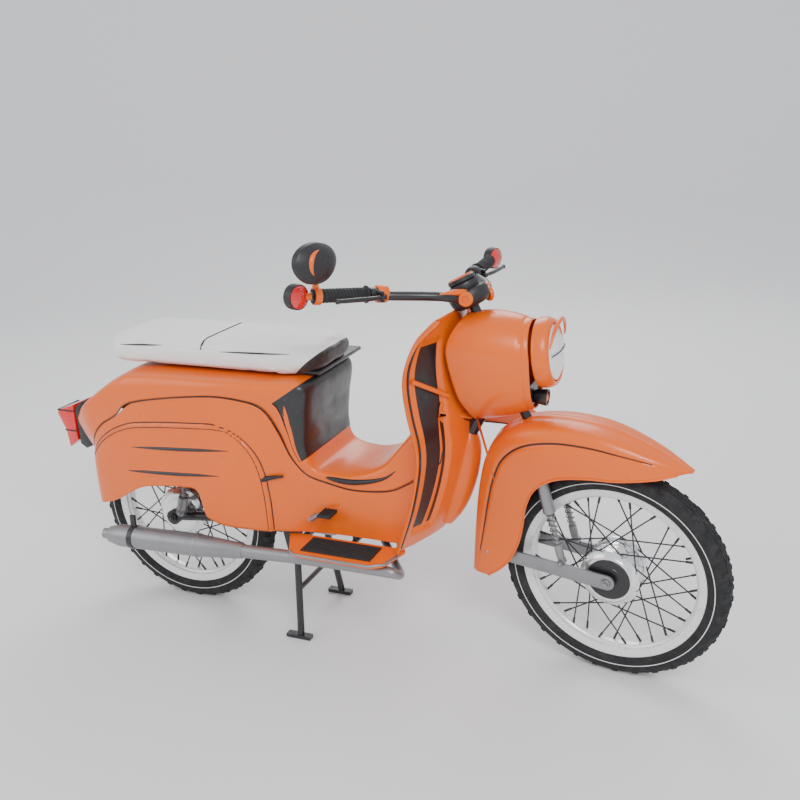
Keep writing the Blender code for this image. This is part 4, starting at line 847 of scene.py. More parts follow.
def make_horn():
    def nose_point(u, v):
        z = 0.6655 + 0.062 * v
        up = (0.795 - z) / 0.1335
        return Vector((0.4025, 0.0765 * (2 * u - 1) * math.sqrt(max(1 - up * up, 0.02)), z))

    # Painted shade: a black sheet on the chin's front round the horn, for the chin's shaded front; in part it
    # stands for the horn's grille.
    nose = add_piece("cowl_nose_painted_shade", formed_sheet(nose_point, 24, 16), "enamel", "chassis")
    flip_to(nose, (1, 0, 0))
    thicken(nose, 0.002)
    ahead = Vector((1, 0, -0.05)).normalized()
    at = Vector((0.404, 0, 0.690))
    dish = [
        (0.0, 0.0), (0.0, 0.015), (0.008, 0.0175), (0.026, 0.020), (0.031, 0.0195), (0.031, 0.0165),
        (0.022, 0.013), (0.015, 0.0),
    ]
    add_piece("horn_dish", spun(dish, at, ahead, 48), "enamel", "chassis", ["horn"])
    drop = [(0.016, 0.0), (0.018, 0.006), (0.024, 0.010), (0.030, 0.006), (0.032, 0.0)]
    button = spun(drop, at, ahead, 32)
    bmesh.ops.scale(button, vec=(1, 0.8, 1.5), verts=button.verts, space=Matrix.Translation(-at))
    add_piece("horn_button", button, "paint", "chassis")


# The seat.


# How far the cushion's cover reaches down round the pan, the size of its even grid, the most that it
# swells, the frames that it settles for, and the place of the seam behind the middle of the wheelbase.
SKIRT = 0.008
SEAT_GRID = 0.0055
MOST_SWELL = 0.010
SETTLING_FRAMES = 20
SEAM_X = -0.430


def seat_shape(shrink):
    """The cushion's plain form: flat below, domed above, narrower at the front."""
    low_corner, high_corner = (Vector(v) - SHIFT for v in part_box("seat_cushion"))
    bm = bmesh.new()
    bmesh.ops.create_cube(bm, size=2.0)
    bmesh.ops.subdivide_edges(bm, edges=bm.edges[:], cuts=11, use_grid_fill=True)
    length = high_corner.x - low_corner.x
    half = high_corner.y
    for vert in bm.verts:
        a, b, c = vert.co
        share = (1 - a) / 2
        narrow = 1.0 - 0.08 * hump(min(share / 0.20, 1.0)) - 0.03 * ease((share - 0.90) / 0.10)
        end = 1.0 - 0.10 * abs(b) ** 4
        dome = 1.0 - 0.05 * abs(b) ** 6 - 0.16 * hump(
            min(share / 0.10, 1.0),
        ) - 0.10 * ease((share - 0.92) / 0.08)
        x = high_corner.x - length / 2 + a * end * length / 2
        y = b * half * narrow * (1.0 - 0.03 * c * c)
        height = high_corner.z - low_corner.z + SKIRT
        z = low_corner.z - SKIRT + (c + 1) / 2 * height * (dome if c > 0 else 1.0 + (dome - 1.0) * (c + 1))
        z += 0.016 * hump(min(share / 0.11, 1.0)) * (1 - c) / 2
        vert.co = (x, y, z)
    centre = (low_corner + high_corner) / 2
    keep = Vector(
        (1 - 2 * shrink / length, 1 - shrink / half, 1 - 2 * shrink / (high_corner.z - low_corner.z)),
    )
    bmesh.ops.scale(bm, vec=keep, verts=bm.verts, space=Matrix.Translation(-centre))
    return bm


def settle_cushion(obj, most):
    """Inflates the cushion a little as cloth, and keeps the result with no point moved past a limit."""
    rest = [vert.co.copy() for vert in obj.data.vertices]
    cloth = obj.modifiers.new("cloth", "CLOTH")
    cloth.settings.quality = 6
    cloth.settings.mass = 0.3
    cloth.settings.tension_stiffness = 18
    cloth.settings.compression_stiffness = 18
    cloth.settings.use_pressure = True
    cloth.settings.uniform_pressure_force = 4.0
    cloth.settings.effector_weights.gravity = 0
    cloth.point_cache.frame_start = 1
    cloth.point_cache.frame_end = SETTLING_FRAMES
    scene = bpy.context.scene
    for number in range(1, SETTLING_FRAMES + 1):
        scene.frame_set(number)
    settled = obj.evaluated_get(bpy.context.evaluated_depsgraph_get())
    moved = [vert.co.copy() for vert in settled.data.vertices]
    obj.modifiers.remove(cloth)
    scene.frame_set(1)
    for vert, start, end in zip(obj.data.vertices, rest, moved):
        step = end - start
        if step.length > most:
            step *= most / step.length
        vert.co = start + step
    obj.data.update()


def make_seat():
    bm = seat_shape(0.006)
    obj = add_piece("seat_cushion_cover", bm, "seat", "seat", ["seat_cushion"], angle=80)
    remesh = obj.modifiers.new("even", "REMESH")
    remesh.mode = "VOXEL"
    remesh.voxel_size = SEAT_GRID
    remesh.use_smooth_shade = True
    even = bpy.data.meshes.new_from_object(obj.evaluated_get(bpy.context.evaluated_depsgraph_get()))
    obj.modifiers.remove(remesh)
    obj.data = even
    settle_cushion(obj, MOST_SWELL)
    low, high = (Vector(v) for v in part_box("seat_cushion"))
    seam_x = SHIFT.x + SEAM_X
    for vert in obj.data.vertices:
        x, y, z = vert.co
        groove = 0.0045 * hump((x - seam_x) / 0.011) if z > low.z + 0.008 else 0.0
        rib = 0.0022 * hump((z - (high.z - 0.020)) / 0.007) if abs(y) > 0.09 else 0.0
        y -= math.copysign(groove * 0.8 + rib, y) if abs(y) > 0.09 else 0.0
        z -= groove if z > high.z - 0.030 else 0.0
        vert.co = (x, min(max(y, low.y + 0.001), high.y - 0.001), min(max(z, low.z - SKIRT), high.z + 0.006))
    obj.data.materials.clear()
    obj.data.materials.append(look("seat"))
    obj.data.shade_smooth()
    soften = obj.modifiers.new("soften", "SUBSURF")
    soften.levels = 1
    soften.render_levels = 1
    make_seat_trim(obj, low, high, seam_x)


def make_seat_trim(cushion, low, high, seam_x):
    """The welts along the cushion's side, the seam's piping, the pan's edge and the rear strap."""
    bpy.context.view_layer.update()
    graph = bpy.context.evaluated_depsgraph_get()

    def on_cover(start, direction):
        hit, place, normal, _ = cushion.evaluated_get(graph).ray_cast(start, direction)
        return place + normal * 0.0002 if hit else None

    def piped(name, points, radius, colour):
        line = [p - SHIFT for p in points if p is not None]
        add_piece(name, tube(line, radius, 8), colour, "seat")

    for side in (-1, 1):
        where = "left" if side > 0 else "right"
        for number, (start, end) in enumerate(((0.10, 0.30), (0.56, 0.86))):
            belt = []
            for i in range(24):
                x = low.x + (high.x - low.x) * (start + (end - start) * i / 23)
                belt.append(
                    on_cover(
                        Vector((x, side * 0.3, high.z - 0.022 + 0.006 * i / 23)), Vector((0, -side, 0))
                    ),
                )
            taper = [0.0005 + 0.0018 * math.sin(math.pi * i / 23) for i in range(24)]
            piped(f"seat_welt_{where}_{number}", belt, taper, "plastic")
    cross = []
    for i in range(41):
        angle = math.radians(8 + 164 * i / 40)
        start = Vector((seam_x, 0.3 * math.cos(angle), low.z + 0.020 + 0.3 * math.sin(angle)))
        cross.append(on_cover(start, (Vector((seam_x, 0, low.z + 0.020)) - start).normalized()))
    piped("seat_seam_piping", cross, 0.0027, "plastic")
    pan_low, pan_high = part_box("seat_pan")
    base = slab(
        Vector((pan_low[0] - 0.004, -0.124, pan_low[2])) - SHIFT,
        Vector((pan_high[0] + 0.010, 0.124, pan_high[2] + 0.001)) - SHIFT, 0.004,
    )
    add_piece("seat_base", base, "enamel", "seat", ["seat_pan"])
    strap = [
        Vector((low.x + 0.006, side, low.z + 0.020)) - SHIFT for side in (-0.060, -0.030, 0.0, 0.030, 0.060)
    ]
    add_piece("seat_strap", tube(strap, 0.0065, 12), "plastic", "seat")


# Wheels and running gear.


def tyre_mesh(centre):
    """A tyre with a ribbed tread whose shoulder blocks are cut apart."""
    steps = 132
    wide = TYRE_HALF - 0.001
    outer = TYRE_RADIUS - 0.0005
    bead = 0.2165
    half = [
        (0.0, outer), (0.0030, outer), (0.0036, outer - 0.0030), (0.0058, outer - 0.0030),
        (0.0064, outer - 0.0002),
        (0.0130, outer - 0.0010), (0.0136, outer - 0.0038), (0.0156, outer - 0.0042),
        (0.0162, outer - 0.0016),
        (0.0225, outer - 0.0055), (0.0280, outer - 0.0115), (wide - 0.0005, outer - 0.0230),
        (wide, outer - 0.0300),
        (wide - 0.0010, outer - 0.0380), (wide - 0.0020, outer - 0.0386), (wide - 0.0035, outer - 0.0440),
        (0.0225, bead + 0.0035),
        (0.0205, bead), (0.0165, bead),
    ]
    profile = half + [(0.0150, bead + 0.006)] + [(-0.0150, bead + 0.006)] + [(-a, r) for a, r in half[:0:-1]]
    bm = spun(profile, centre, Y, steps)
    cuts = []
    for face in bm.faces:
        middle_point = face.calc_center_median() - centre
        radius = math.hypot(middle_point.x, middle_point.z)
        along = abs(middle_point.y)
        if radius < outer - 0.020 or not (0.0064 < along < 0.0130 or 0.0162 < along < 0.0300):
            continue
        turn = (math.atan2(middle_point.z, middle_point.x) / (2 * math.pi) * steps) % 4
        if int(turn + (2 if along < 0.014 else 0)) % 4 == 0:
            cuts.append(face)
    bmesh.ops.inset_region(bm, faces=cuts, thickness=0.0012, depth=-0.0028, use_even_offset=True)
    return bm


def rim_mesh(centre):
    """A deep box-section rim with rolled flanges."""
    section = [
        (0.0215, 0.2215), (0.0238, 0.2235), (0.0250, 0.2215), (0.0238, 0.2165), (0.0225, 0.2080),
        (0.0205, 0.2035),
        (0.0150, 0.2020), (0.0120, 0.1975), (0.0100, 0.1965),
    ]
    well = [(0.0200, 0.2130), (0.0130, 0.2080), (0.0110, 0.2050)]
    profile = section + [(-a, r) for a, r in section[::-1]] + [(-a, r) for a, r in well] + well[::-1]
    return spun(profile, centre, Y, 120)


def spokes_mesh(centre, hub_radius, flange):
    """Crossed spokes with their nipples."""
    bm = bmesh.new()
    count = 36
    for i in range(count):
        side = 1 if i % 2 else -1
        lean = 1 if (i // 2) % 2 else -1
        rim_angle = 2 * math.pi * i / count
        hub_angle = rim_angle + lean * math.radians(58)
        start = Vector(
            (
                math.cos(hub_angle) * hub_radius, side * (flange - (0.0022 if lean > 0 else -0.0022)),
                math.sin(hub_angle) * hub_radius
            ),
        )
        end = Vector((math.cos(rim_angle) * 0.1985, side * 0.0055, math.sin(rim_angle) * 0.1985))
        for low, high, radius in ((start, end, 0.0019), (end.lerp(start, 0.11), end, 0.0031)):
            direction = high - low
            turn = direction.to_track_quat("Z", "Y").to_matrix().to_4x4()
            bmesh.ops.create_cone(
                bm, cap_ends=True, segments=8, radius1=radius, radius2=radius, depth=direction.length,
                matrix=Matrix.Translation(centre + (low + high) / 2) @ turn,
            )
    return bm


def hub_mesh(centre):
    """A full-width drum with two spoke flanges and cooling ribs between them."""
    profile = [
        (-0.044, 0.020), (-0.044, 0.058), (-0.040, 0.0625), (-0.0365, 0.0715), (-0.0325, 0.0715),
        (-0.0295, 0.0640),
    ]
    for i in range(3):
        y = -0.016 + 0.016 * i
        profile += [(y - 0.0060, 0.0640), (y - 0.0052, 0.0652), (y + 0.0052, 0.0652), (y + 0.0060, 0.0640)]
    profile += [
        (0.0295, 0.0640), (0.0325, 0.0715), (0.0365, 0.0715), (0.040, 0.0625), (0.044, 0.058),
        (0.044, 0.020),
    ]
    return spun(profile, centre, Y, 72)


def bolt(centre, direction, across, height):
    """A six-sided nut with a rounded end standing on a face."""
    direction = Vector(direction).normalized()
    turn = direction.to_track_quat("Z", "Y").to_matrix().to_4x4()
    bm = bmesh.new()
    bmesh.ops.create_cone(
        bm, cap_ends=True, segments=6, radius1=across / 2, radius2=across / 2, depth=height,
        matrix=Matrix.Translation(Vector(centre) + direction * height / 2) @ turn,
    )
    bmesh.ops.bevel(
        bm, geom=bm.edges[:], offset=height * 0.10, affect="EDGES", segments=1, profile=0.5, material=-1,
    )
    end = bmesh.new()
    bmesh.ops.create_uvsphere(
        end, u_segments=16, v_segments=8, radius=across * 0.27,
        matrix=Matrix.Translation(Vector(centre) + direction * height),
    )
    return join(bm, end)


def make_wheel(prefix, centre, place):
    wheel = f"{prefix}_wheel"
    add_piece(f"{prefix}_tyre_carcass", tyre_mesh(centre), "tyre", wheel, [f"{prefix}_tyre"], place=place)
    add_piece(f"{prefix}_wheel_rim", rim_mesh(centre), "rim", wheel, [f"{prefix}_rim"], place=place)
    add_piece(
        f"{prefix}_wheel_spokes", spokes_mesh(centre, 0.068, 0.0345), "enamel", wheel, [f"{prefix}_spokes"],
        place=place,
    )
    add_piece(f"{prefix}_hub_drum", hub_mesh(centre), "alloy", wheel, [f"{prefix}_hub"], place=place)
    cap = [
        (-0.0440, 0.0), (-0.0440, 0.052), (-0.0452, 0.0515), (-0.0462, 0.044), (-0.0462, 0.034),
        (-0.0474, 0.033), (-0.0474, 0.0),
    ]
    for side, where in ((1, "right"), (-1, "left")):
        disc = spun([(side * a, r) for a, r in cap], centre, Y, 56)
        add_piece(f"{prefix}_hub_cap_{where}", disc, "enamel", wheel, place=place)
        # Painted highlight: a thin white ring on each sidewall near the tread, where light catches the
        # tread's edge.
        wide = TYRE_HALF - 0.0012
        line = spun(
            [
                (side * -(wide - 0.0004), 0.2400), (side * -(wide + 0.0006), 0.2408),
                (side * -(wide + 0.0004), 0.2422), (side * -(wide - 0.0008), 0.2428),
            ],
            centre, Y, 120,
        )
        add_piece(f"{prefix}_tyre_line_{where}", line, "white", wheel, place=place)
    valve = centre + Vector((math.cos(0.4), 0, math.sin(0.4))) * 0.180
    stem = tube([valve, valve + (valve - centre).normalized() * 0.022], 0.0028, 12)
    add_piece(f"{prefix}_valve", stem, "rubber", wheel, place=place)


def flat_arm(outline, low, high, bevel=0.0015):
    """A plate cut to a round-ended outline, between two distances from the middle."""
    bm = bmesh.new()
    face = bm.faces.new([bm.verts.new(Vector((x, low, z))) for x, z in outline])
    made = bmesh.ops.extrude_face_region(bm, geom=[face])
    verts = [item for item in made["geom"] if isinstance(item, bmesh.types.BMVert)]
    bmesh.ops.translate(bm, vec=(0, high - low, 0), verts=verts)
    bmesh.ops.recalc_face_normals(bm, faces=bm.faces)
    if bevel:
        rim = [e for e in bm.edges if abs(e.verts[0].co.y - e.verts[1].co.y) < 1e-7]
        bmesh.ops.bevel(bm, geom=rim, offset=bevel, affect="EDGES", segments=2, profile=0.5, material=-1)
    return bm


def arm_outline(start, end, start_radius, end_radius):
    """A tapered bar seen from the side, round at both ends."""
    direction = (end - start).normalized()
    normal = Vector((-direction.z, 0, direction.x))
    outline = []
    for centre, radius, heading in ((start, start_radius, -1), (end, end_radius, 1)):
        for i in range(13):
            angle = math.pi * i / 12
            along = math.sin(angle) * heading
            over = math.cos(angle) * -heading
            point = centre + direction * radius * along + normal * radius * over
            outline.append((point.x, point.z))
    return outline


LINK_PIVOT = FRONT_AXLE + Vector((-0.300, 0, 0.020))
SWING_PIVOT = BACK_AXLE + Vector((0.330, 0, 0.030))
FRONT_EYE = FRONT_AXLE + Vector((-0.112, 0, 0.026))
FRONT_STRUT_TOP = Vector((0.428, 0, 0.550))
REAR_EYE = BACK_AXLE + Vector((0.040, 0, 0.030))
REAR_STRUT_TOP = Vector((-0.490, 0, 0.585))
ARM_Y = 0.0585
ARM_HALF = 0.0035


def make_arms():
    for side in (-1, 1):
        where = "left" if side > 0 else "right"
        bm = flat_arm(
            arm_outline(LINK_PIVOT, FRONT_AXLE, 0.017, 0.019), side * (ARM_Y - ARM_HALF),
            side * (ARM_Y + ARM_HALF),
        )
        for centre, size in ((LINK_PIVOT, 0.020), (FRONT_AXLE, 0.024), (FRONT_EYE, 0.015)):
            join(bm, bolt(centre + Y * side * (ARM_Y + ARM_HALF), Y * side, size, 0.007))
        add_piece(f"front_link_{where}", bm, "steel", "front_arm", ["front_link"], place=STEERED)
        arm_y = 0.068
        swing = tube(
            curve_points(
                [
                    SWING_PIVOT + Y * side * arm_y,
                    SWING_PIVOT.lerp(BACK_AXLE, 0.5) + Y * side * arm_y + Z * 0.004,
                    BACK_AXLE + Y * side * arm_y,
                ],
                9,
            ), 0.0125, 18,
        )
        for centre, size in ((SWING_PIVOT, 0.020), (BACK_AXLE, 0.026)):
            join(swing, bolt(centre + Y * side * (arm_y + 0.010), Y * side, size, 0.008))
        lug = tube(
            [BACK_AXLE + Y * side * (arm_y - 0.004), BACK_AXLE + Y * side * (arm_y + 0.013)], 0.021, 28,
        )
        peg = tube([REAR_EYE + Y * side * (arm_y - 0.002), REAR_EYE + Y * side * 0.104], 0.0058, 16)
        join(swing, lug, peg)
        add_piece(f"swing_arm_{where}", swing, "enamel", "rear_arm", ["swing_arm"])
    for centre, name, body, place in (
        (FRONT_AXLE, "front_axle", "front_arm", STEERED), (BACK_AXLE, "rear_axle", "rear_arm", STRAIGHT),
    ):
        axle = tube([centre - Y * 0.074, centre + Y * 0.074], 0.0062, 20)
        add_piece(name, axle, "steel", body, place=place)
    pin = tube([LINK_PIVOT - Y * ARM_Y, LINK_PIVOT + Y * ARM_Y], 0.0062, 20)
    add_piece("front_link_pin", pin, "steel", "front_arm", place=STEERED)
    bridge = tube([SWING_PIVOT - Y * 0.066 , SWING_PIVOT + Y * 0.066], 0.014, 24)
    add_piece("swing_arm_bridge", bridge, "enamel", "rear_arm")


def strut_pieces(prefix, top, eye, side_y, radius, place):
    """Each side's spring-and-damper: an upper cover, and a rod with its coil spring below."""
    for side in (-1, 1):
        where = "left" if side > 0 else "right"
        head = top + Y * side * side_y
        foot = eye + Y * side * side_y
        axis = (head - foot).normalized()
        length = (head - foot).length
        cover = [
            (0.0, 0.004), (0.0, radius * 0.66), (0.006, radius * 0.80), (0.016, radius),
            (length * 0.46, radius),
            (length * 0.49, radius * 1.05), (length * 0.50, radius * 1.05), (length * 0.50, radius * 0.80),
            (0.020, radius * 0.76), (0.010, 0.004),
        ]
        shell = spun([(-a, r) for a, r in cover], head, axis, 36)
        eye_ring = tube([head - Y * 0.0115, head + Y * 0.0115], radius * 0.62, 22)
        join(shell, eye_ring, bolt(head + Y * side * 0.0115, Y * side, 0.014, 0.006))
        add_piece(
            f"{prefix}_damper_cover_{where}", shell, "steel", f"{prefix}_cover_{where}",
            [f"{prefix}_strut_cover_{where}"], place=place,
        )
        lower = [
            (0.0, 0.0), (0.0, radius * 0.55), (0.020, radius * 0.68), (0.045, radius * 0.68),
            (0.048, 0.0055), (length * 0.56, 0.0055), (length * 0.56, 0.0),
        ]
        body = spun(lower, foot, axis, 28)
        join(
            body, tube([foot - Y * 0.010, foot + Y * 0.010], radius * 0.62, 22),
            bolt(foot + Y * side * 0.010, Y * side, 0.014, 0.006),
        )
        across = axis.cross(Y).normalized()
        coil = []
        turns = 7
        for i in range(turns * 12 + 1):
            angle = 2 * math.pi * i / 12
            rise = 0.046 + (length * 0.53 - 0.046) * i / (turns * 12)
            coil.append(foot + axis * rise + (across * math.cos(angle) + Y * math.sin(angle)) * radius * 0.60)
        join(body, tube(coil, 0.0019, 8))
        add_piece(
            f"{prefix}_damper_rod_{where}", body, "steel", f"{prefix}_slider_{where}",
            [f"{prefix}_strut_slider_{where}"], place=place,
        )


def make_struts():
    strut_pieces("front", FRONT_STRUT_TOP, FRONT_EYE, 0.0500, 0.0145, STEERED)
    strut_pieces("rear", REAR_STRUT_TOP, REAR_EYE, 0.092, 0.0205, STRAIGHT)


def make_fork():
    crown = steering_point(0.585)
    legs = tube([crown - STEER_AXIS * 0.012, steering_point(0.903)], 0.0118, 24)
    join(legs, tube([crown - Y * 0.058, crown + Y * 0.058], 0.0138, 24))
    for side in (-1, 1):
        knee = crown + Vector((-0.004, side * 0.040, -0.010))
        foot = LINK_PIVOT + Y * side * 0.040
        join(
            legs,
            tube(curve_points([knee, (knee + foot) / 2 + Vector((-0.008, 0, 0)), foot], 14), 0.0108, 20),
        )
        ear = FRONT_STRUT_TOP + Y * side * 0.0525
        join(
            legs,
            tube(
                curve_points([crown + Y * side * 0.050, ear + Vector((-0.004, 0, 0.022)), ear], 9), 0.0068,
                16,
            )
        )
    join(legs, tube([LINK_PIVOT - Y * 0.052, LINK_PIVOT + Y * 0.052], 0.0125, 24))
    add_piece("front_fork", legs, "enamel", "steering", ["fork"], place=STEERED)


# Power unit, exhaust and floor.

KICK_SHAFT = Vector((-0.215, 0, 0.372))
GEAR_SHAFT = Vector((-0.090, 0, 0.372))
BRAKE_SHAFT = Vector((-0.128, 0, 0.366))
EXHAUST_Y = -0.200


def make_exhaust():
    path = [
        (-0.010, 0, 0.3150), (-0.006, -0.004, 0.292), (0.020, -0.030, 0.265), (0.080, -0.110, 0.255),
        (0.115, -0.165, 0.262), (0.112, -0.192, 0.275), (0.085, EXHAUST_Y, 0.283),
        (-0.100, EXHAUST_Y, 0.283), (-0.300, EXHAUST_Y, 0.275),
    ]
    radii = [value_at([(0, 0.0108), (34, 0.0112), (44, 0.014), (59, 0.0172)], i) for i in range(60)]
    add_piece("exhaust_header", tube(curve_points(path, 60), radii, 24), "steel", "chassis", ["exhaust_pipe"])
    back = Vector((-1, 0, -0.035)).normalized()
    start = Vector((-0.3005, EXHAUST_Y, 0.275))
    profile = [
        (0.0, 0.0), (0.0, 0.0178), (0.006, 0.0200), (0.120, 0.0285), (0.132, 0.0290), (0.134, 0.0312),
        (0.142, 0.0312),
        (0.144, 0.0302), (0.376, 0.0302), (0.384, 0.0300), (0.418, 0.0220), (0.424, 0.0145), (0.440, 0.0140),
        (0.440, 0.0115), (0.400, 0.0115), (0.400, 0.0),
    ]
    add_piece("silencer_shell", spun(profile, start, back, 56), "steel", "chassis", ["silencer"])
    clamp = spun([(0.332, 0.0300), (0.332, 0.0320), (0.346, 0.0320), (0.346, 0.0300)], start, back, 48)
    ear = slab((-0.008, -0.004, -0.006), (0.008, 0.004, 0.034), 0.0015)
    bmesh.ops.translate(ear, vec=start + back * 0.339 + Z * 0.030, verts=ear.verts)
    add_piece("silencer_clamp", join(clamp, ear), "enamel", "chassis")


def make_floor():
    inner = 0.126
    for side in (-1, 1):
        where = "left" if side > 0 else "right"
        outline = [
            (-0.205, inner), (-0.160, 0.215), (-0.140, 0.235), (0.066, 0.235), (0.096, 0.215),
            (0.120, inner),
        ]
        bm = bmesh.new()
        face = bm.faces.new([bm.verts.new(Vector((x, side * y, 0.3015))) for x, y in outline])
        made = bmesh.ops.extrude_face_region(bm, geom=[face])
        top = [item for item in made["geom"] if isinstance(item, bmesh.types.BMVert)]
        bmesh.ops.translate(bm, vec=(0, 0, 0.0085), verts=top)
        bmesh.ops.recalc_face_normals(bm, faces=bm.faces)
        corners = [e for e in bm.edges if abs(e.verts[0].co.z - e.verts[1].co.z) > 0.001]
        bmesh.ops.bevel(bm, geom=corners, offset=0.012, affect="EDGES", segments=5, profile=0.5, material=-1)
        board = add_piece(f"floor_plate_{where}", bm, "paint", "chassis", [f"footboard_{where}"])
        round_edges(board, 0.0015)
        mat_low = Vector((-0.130, 0.140 if side > 0 else -0.214, 0.3095))
        mat_high = Vector((0.058, 0.214 if side > 0 else -0.140, 0.3130))
        mat = slab(mat_low, mat_high, 0.0015)
        for i in range(9):
            y = mat_low.y + 0.009 + 0.007 * i
            rib = slab(
                (mat_low.x + 0.006, y - 0.0015, 0.3120), (mat_high.x - 0.006, y + 0.0015, 0.3145), 0.0008,
            )
            join(mat, rib)
        add_piece(f"floor_mat_{where}", mat, "rubber", "chassis")
        lip = [
            Vector((x, side * y, 0.3085)) for x,
            y in [
                (-0.158, 0.216), (-0.136, 0.2345), (-0.05, 0.2345), (0.062, 0.2345), (0.094, 0.214),
                (0.110, 0.160),
            ]
        ]
        add_piece(f"floor_edge_{where}", tube(lip, 0.0035, 12), "steel", "chassis")


def ribbed_cylinder():
    start = Vector((-0.0545, 0, 0.362))
    ahead = Vector((1, 0, 0.04)).normalized()
    profile = [(0.0, 0.0), (0.0, 0.024)]
    for i in range(9):
        along = 0.008 + 0.0105 * i
        profile += [(along, 0.024), (along, 0.043), (along + 0.0030, 0.043), (along + 0.0030, 0.024)]
    profile += [(0.104, 0.024), (0.108, 0.014), (0.110, 0.0)]
    return spun(profile, start, ahead, 40)


def make_engine():
    add_piece("ribbed_cylinder", ribbed_cylinder(), "cast", "chassis", ["cylinder"])
    cover = spun(
        [(0.0, 0.0), (0.0, 0.060), (0.004, 0.066), (0.012, 0.062), (0.016, 0.050), (0.018, 0.0)],
        Vector((-0.130, -0.0625, 0.352)), -Y, 48,
    )
    for i in range(14):
        angle = 2 * math.pi * i / 14
        direction = Vector((math.cos(angle), 0, math.sin(angle)))
        centre = Vector((-0.130, -0.0800, 0.352))
        join(cover, tube([centre + direction * 0.018, centre + direction * 0.046], 0.0026, 8))
    add_piece("flywheel_cover", cover, "cast", "chassis")


def make_pedals():
    out = 0.187
    arm = KICK_SHAFT + Y * out
    heel = arm + Vector((-0.125, 0.004, 0.035))
    lever = tube([KICK_SHAFT + Y * 0.040, arm + Y * 0.005], 0.0068, 20)
    join(
        lever,
        tube(
            curve_points([arm, arm.lerp(heel, 0.5) + Z * 0.006, heel], 9),
            [0.0088 - 0.0002 * i for i in range(9)], 16,
        )
    )
    join(lever, bolt(arm + Y * 0.004, Y, 0.018, 0.006))
    add_piece("kick_arm", lever, "alloy", "kick_starter", ["kick_lever"])
    add_piece(
        "kick_rubber", ribbed_sleeve(heel - Y * 0.002, heel + Y * 0.060, 0.0095), "rubber", "kick_starter",
    )
    arm = GEAR_SHAFT + Y * 0.140
    toe = arm + Vector((0.095, 0.004, 0.006))
    gear = tube([GEAR_SHAFT + Y * 0.040, arm + Y * 0.004], 0.0058, 18)
    join(gear, tube([arm, toe], 0.0058, 16))
    add_piece("gear_arm", gear, "alloy", "gear_change", ["gear_pedal"])
    add_piece("gear_rubber", ribbed_sleeve(toe - Y * 0.002, toe + Y * 0.054, 0.0092), "rubber", "gear_change")
    arm = BRAKE_SHAFT - Y * 0.150
    toe = arm + Vector((0.050, -0.014, 0.028))
    brake = tube([BRAKE_SHAFT - Y * 0.112, arm - Y * 0.004], 0.0063, 18)
    join(brake, tube(curve_points([arm, arm.lerp(toe, 0.5) + Z * 0.004, toe], 9), 0.0068, 16))
    add_piece("brake_arm", brake, "steel", "foot_brake", ["brake_pedal"])
    pad = slab(toe + Vector((-0.014, -0.022, -0.003)), toe + Vector((0.022, 0.022, 0.005)), 0.002)
    for i in range(5):
        x = toe.x - 0.010 + 0.0070 * i
        join(pad, slab((x, toe.y - 0.020, toe.z + 0.004), (x + 0.0035, toe.y + 0.020, toe.z + 0.0075), 0.001))
    add_piece("brake_pad", pad, "rubber", "foot_brake")


def ribbed_sleeve(start, end, radius):
    """A rubber sleeve with rings moulded round it."""
    start, end = Vector(start), Vector(end)
    length = (end - start).length
    profile = [(0.0, 0.0), (0.0, radius * 0.9)]
    rings = max(int(length / 0.006), 3)
    for i in range(rings):
        along = length * (i + 0.5) / rings
        profile += [
            (along - 0.0019, radius * 0.9), (along - 0.0012, radius), (along + 0.0012, radius),
            (along + 0.0019, radius * 0.9),
        ]
    profile += [(length, radius * 0.9), (length, 0.0)]
    return spun(profile, start, end - start, 28)


def make_tail():
    housing = [
        (-0.888, 0.545), (-0.880, 0.440), (-0.905, 0.428), (-0.925, 0.440), (-0.930, 0.548), (-0.905, 0.566),
    ]
    box = flat_arm(housing, -0.040, 0.040, 0.004)
    add_piece("tail_lamp_base", box, "enamel", "chassis", ["tail_light_housing"])
    lens = [
        (-0.9305, 0.470), (-0.9285, 0.452), (-0.962, 0.428), (-0.968, 0.480), (-0.990, 0.528),
        (-0.986, 0.540), (-0.9305, 0.558),
    ]
    red = flat_arm(lens, -0.043, 0.043, 0.003)
    add_piece("tail_lamp_lens", red, "red", "chassis", ["tail_light_lens"])
    for name, z, depth in (("upper", 0.5395, 0.058), ("middle", 0.4800, 0.040)):
        band = slab((-0.930 - depth, -0.0440, z - 0.0022), (-0.931, 0.0440, z + 0.0022), 0.0009)
        add_piece(f"tail_lamp_band_{name}", band, "plastic", "chassis")


# Handlebar and its controls.

BAR_CENTRE = steering_point(0.915)
LEVELLED = Matrix.Rotation(math.radians(-18), 4, "Z") @ Matrix.Rotation(math.radians(-2.5), 4, "X")
BARS = Matrix.Translation(BAR_CENTRE) @ LEVELLED @ Matrix.Translation(-BAR_CENTRE)
BAR_UPRIGHT = LEVELLED.to_3x3().inverted() @ STEER_AXIS
GRIP_START = Vector((0.118, 0.205, 0.938))
GRIP_END = Vector((0.068, 0.330, 0.946))
GRIP_AXIS = (GRIP_END - GRIP_START).normalized()
LEVER_PIVOT = GRIP_START + Vector((0.034, -0.012, -0.004))
LEVER_AXIS = GRIP_AXIS.cross(Vector((1, 0, 0))).normalized()
MIRROR_CLAMP = GRIP_END - GRIP_AXIS * 0.010
MIRROR_HEAD = MIRROR_CLAMP + Vector((0.046, 0.044, 0.066))


def on_side(point, side):
    return Vector((point[0], point[1] * side, point[2]))


def add_bar_piece(name, bm, colour, body, nodes=()):
    return add_piece(name, bm, colour, body, nodes, place=BARS)


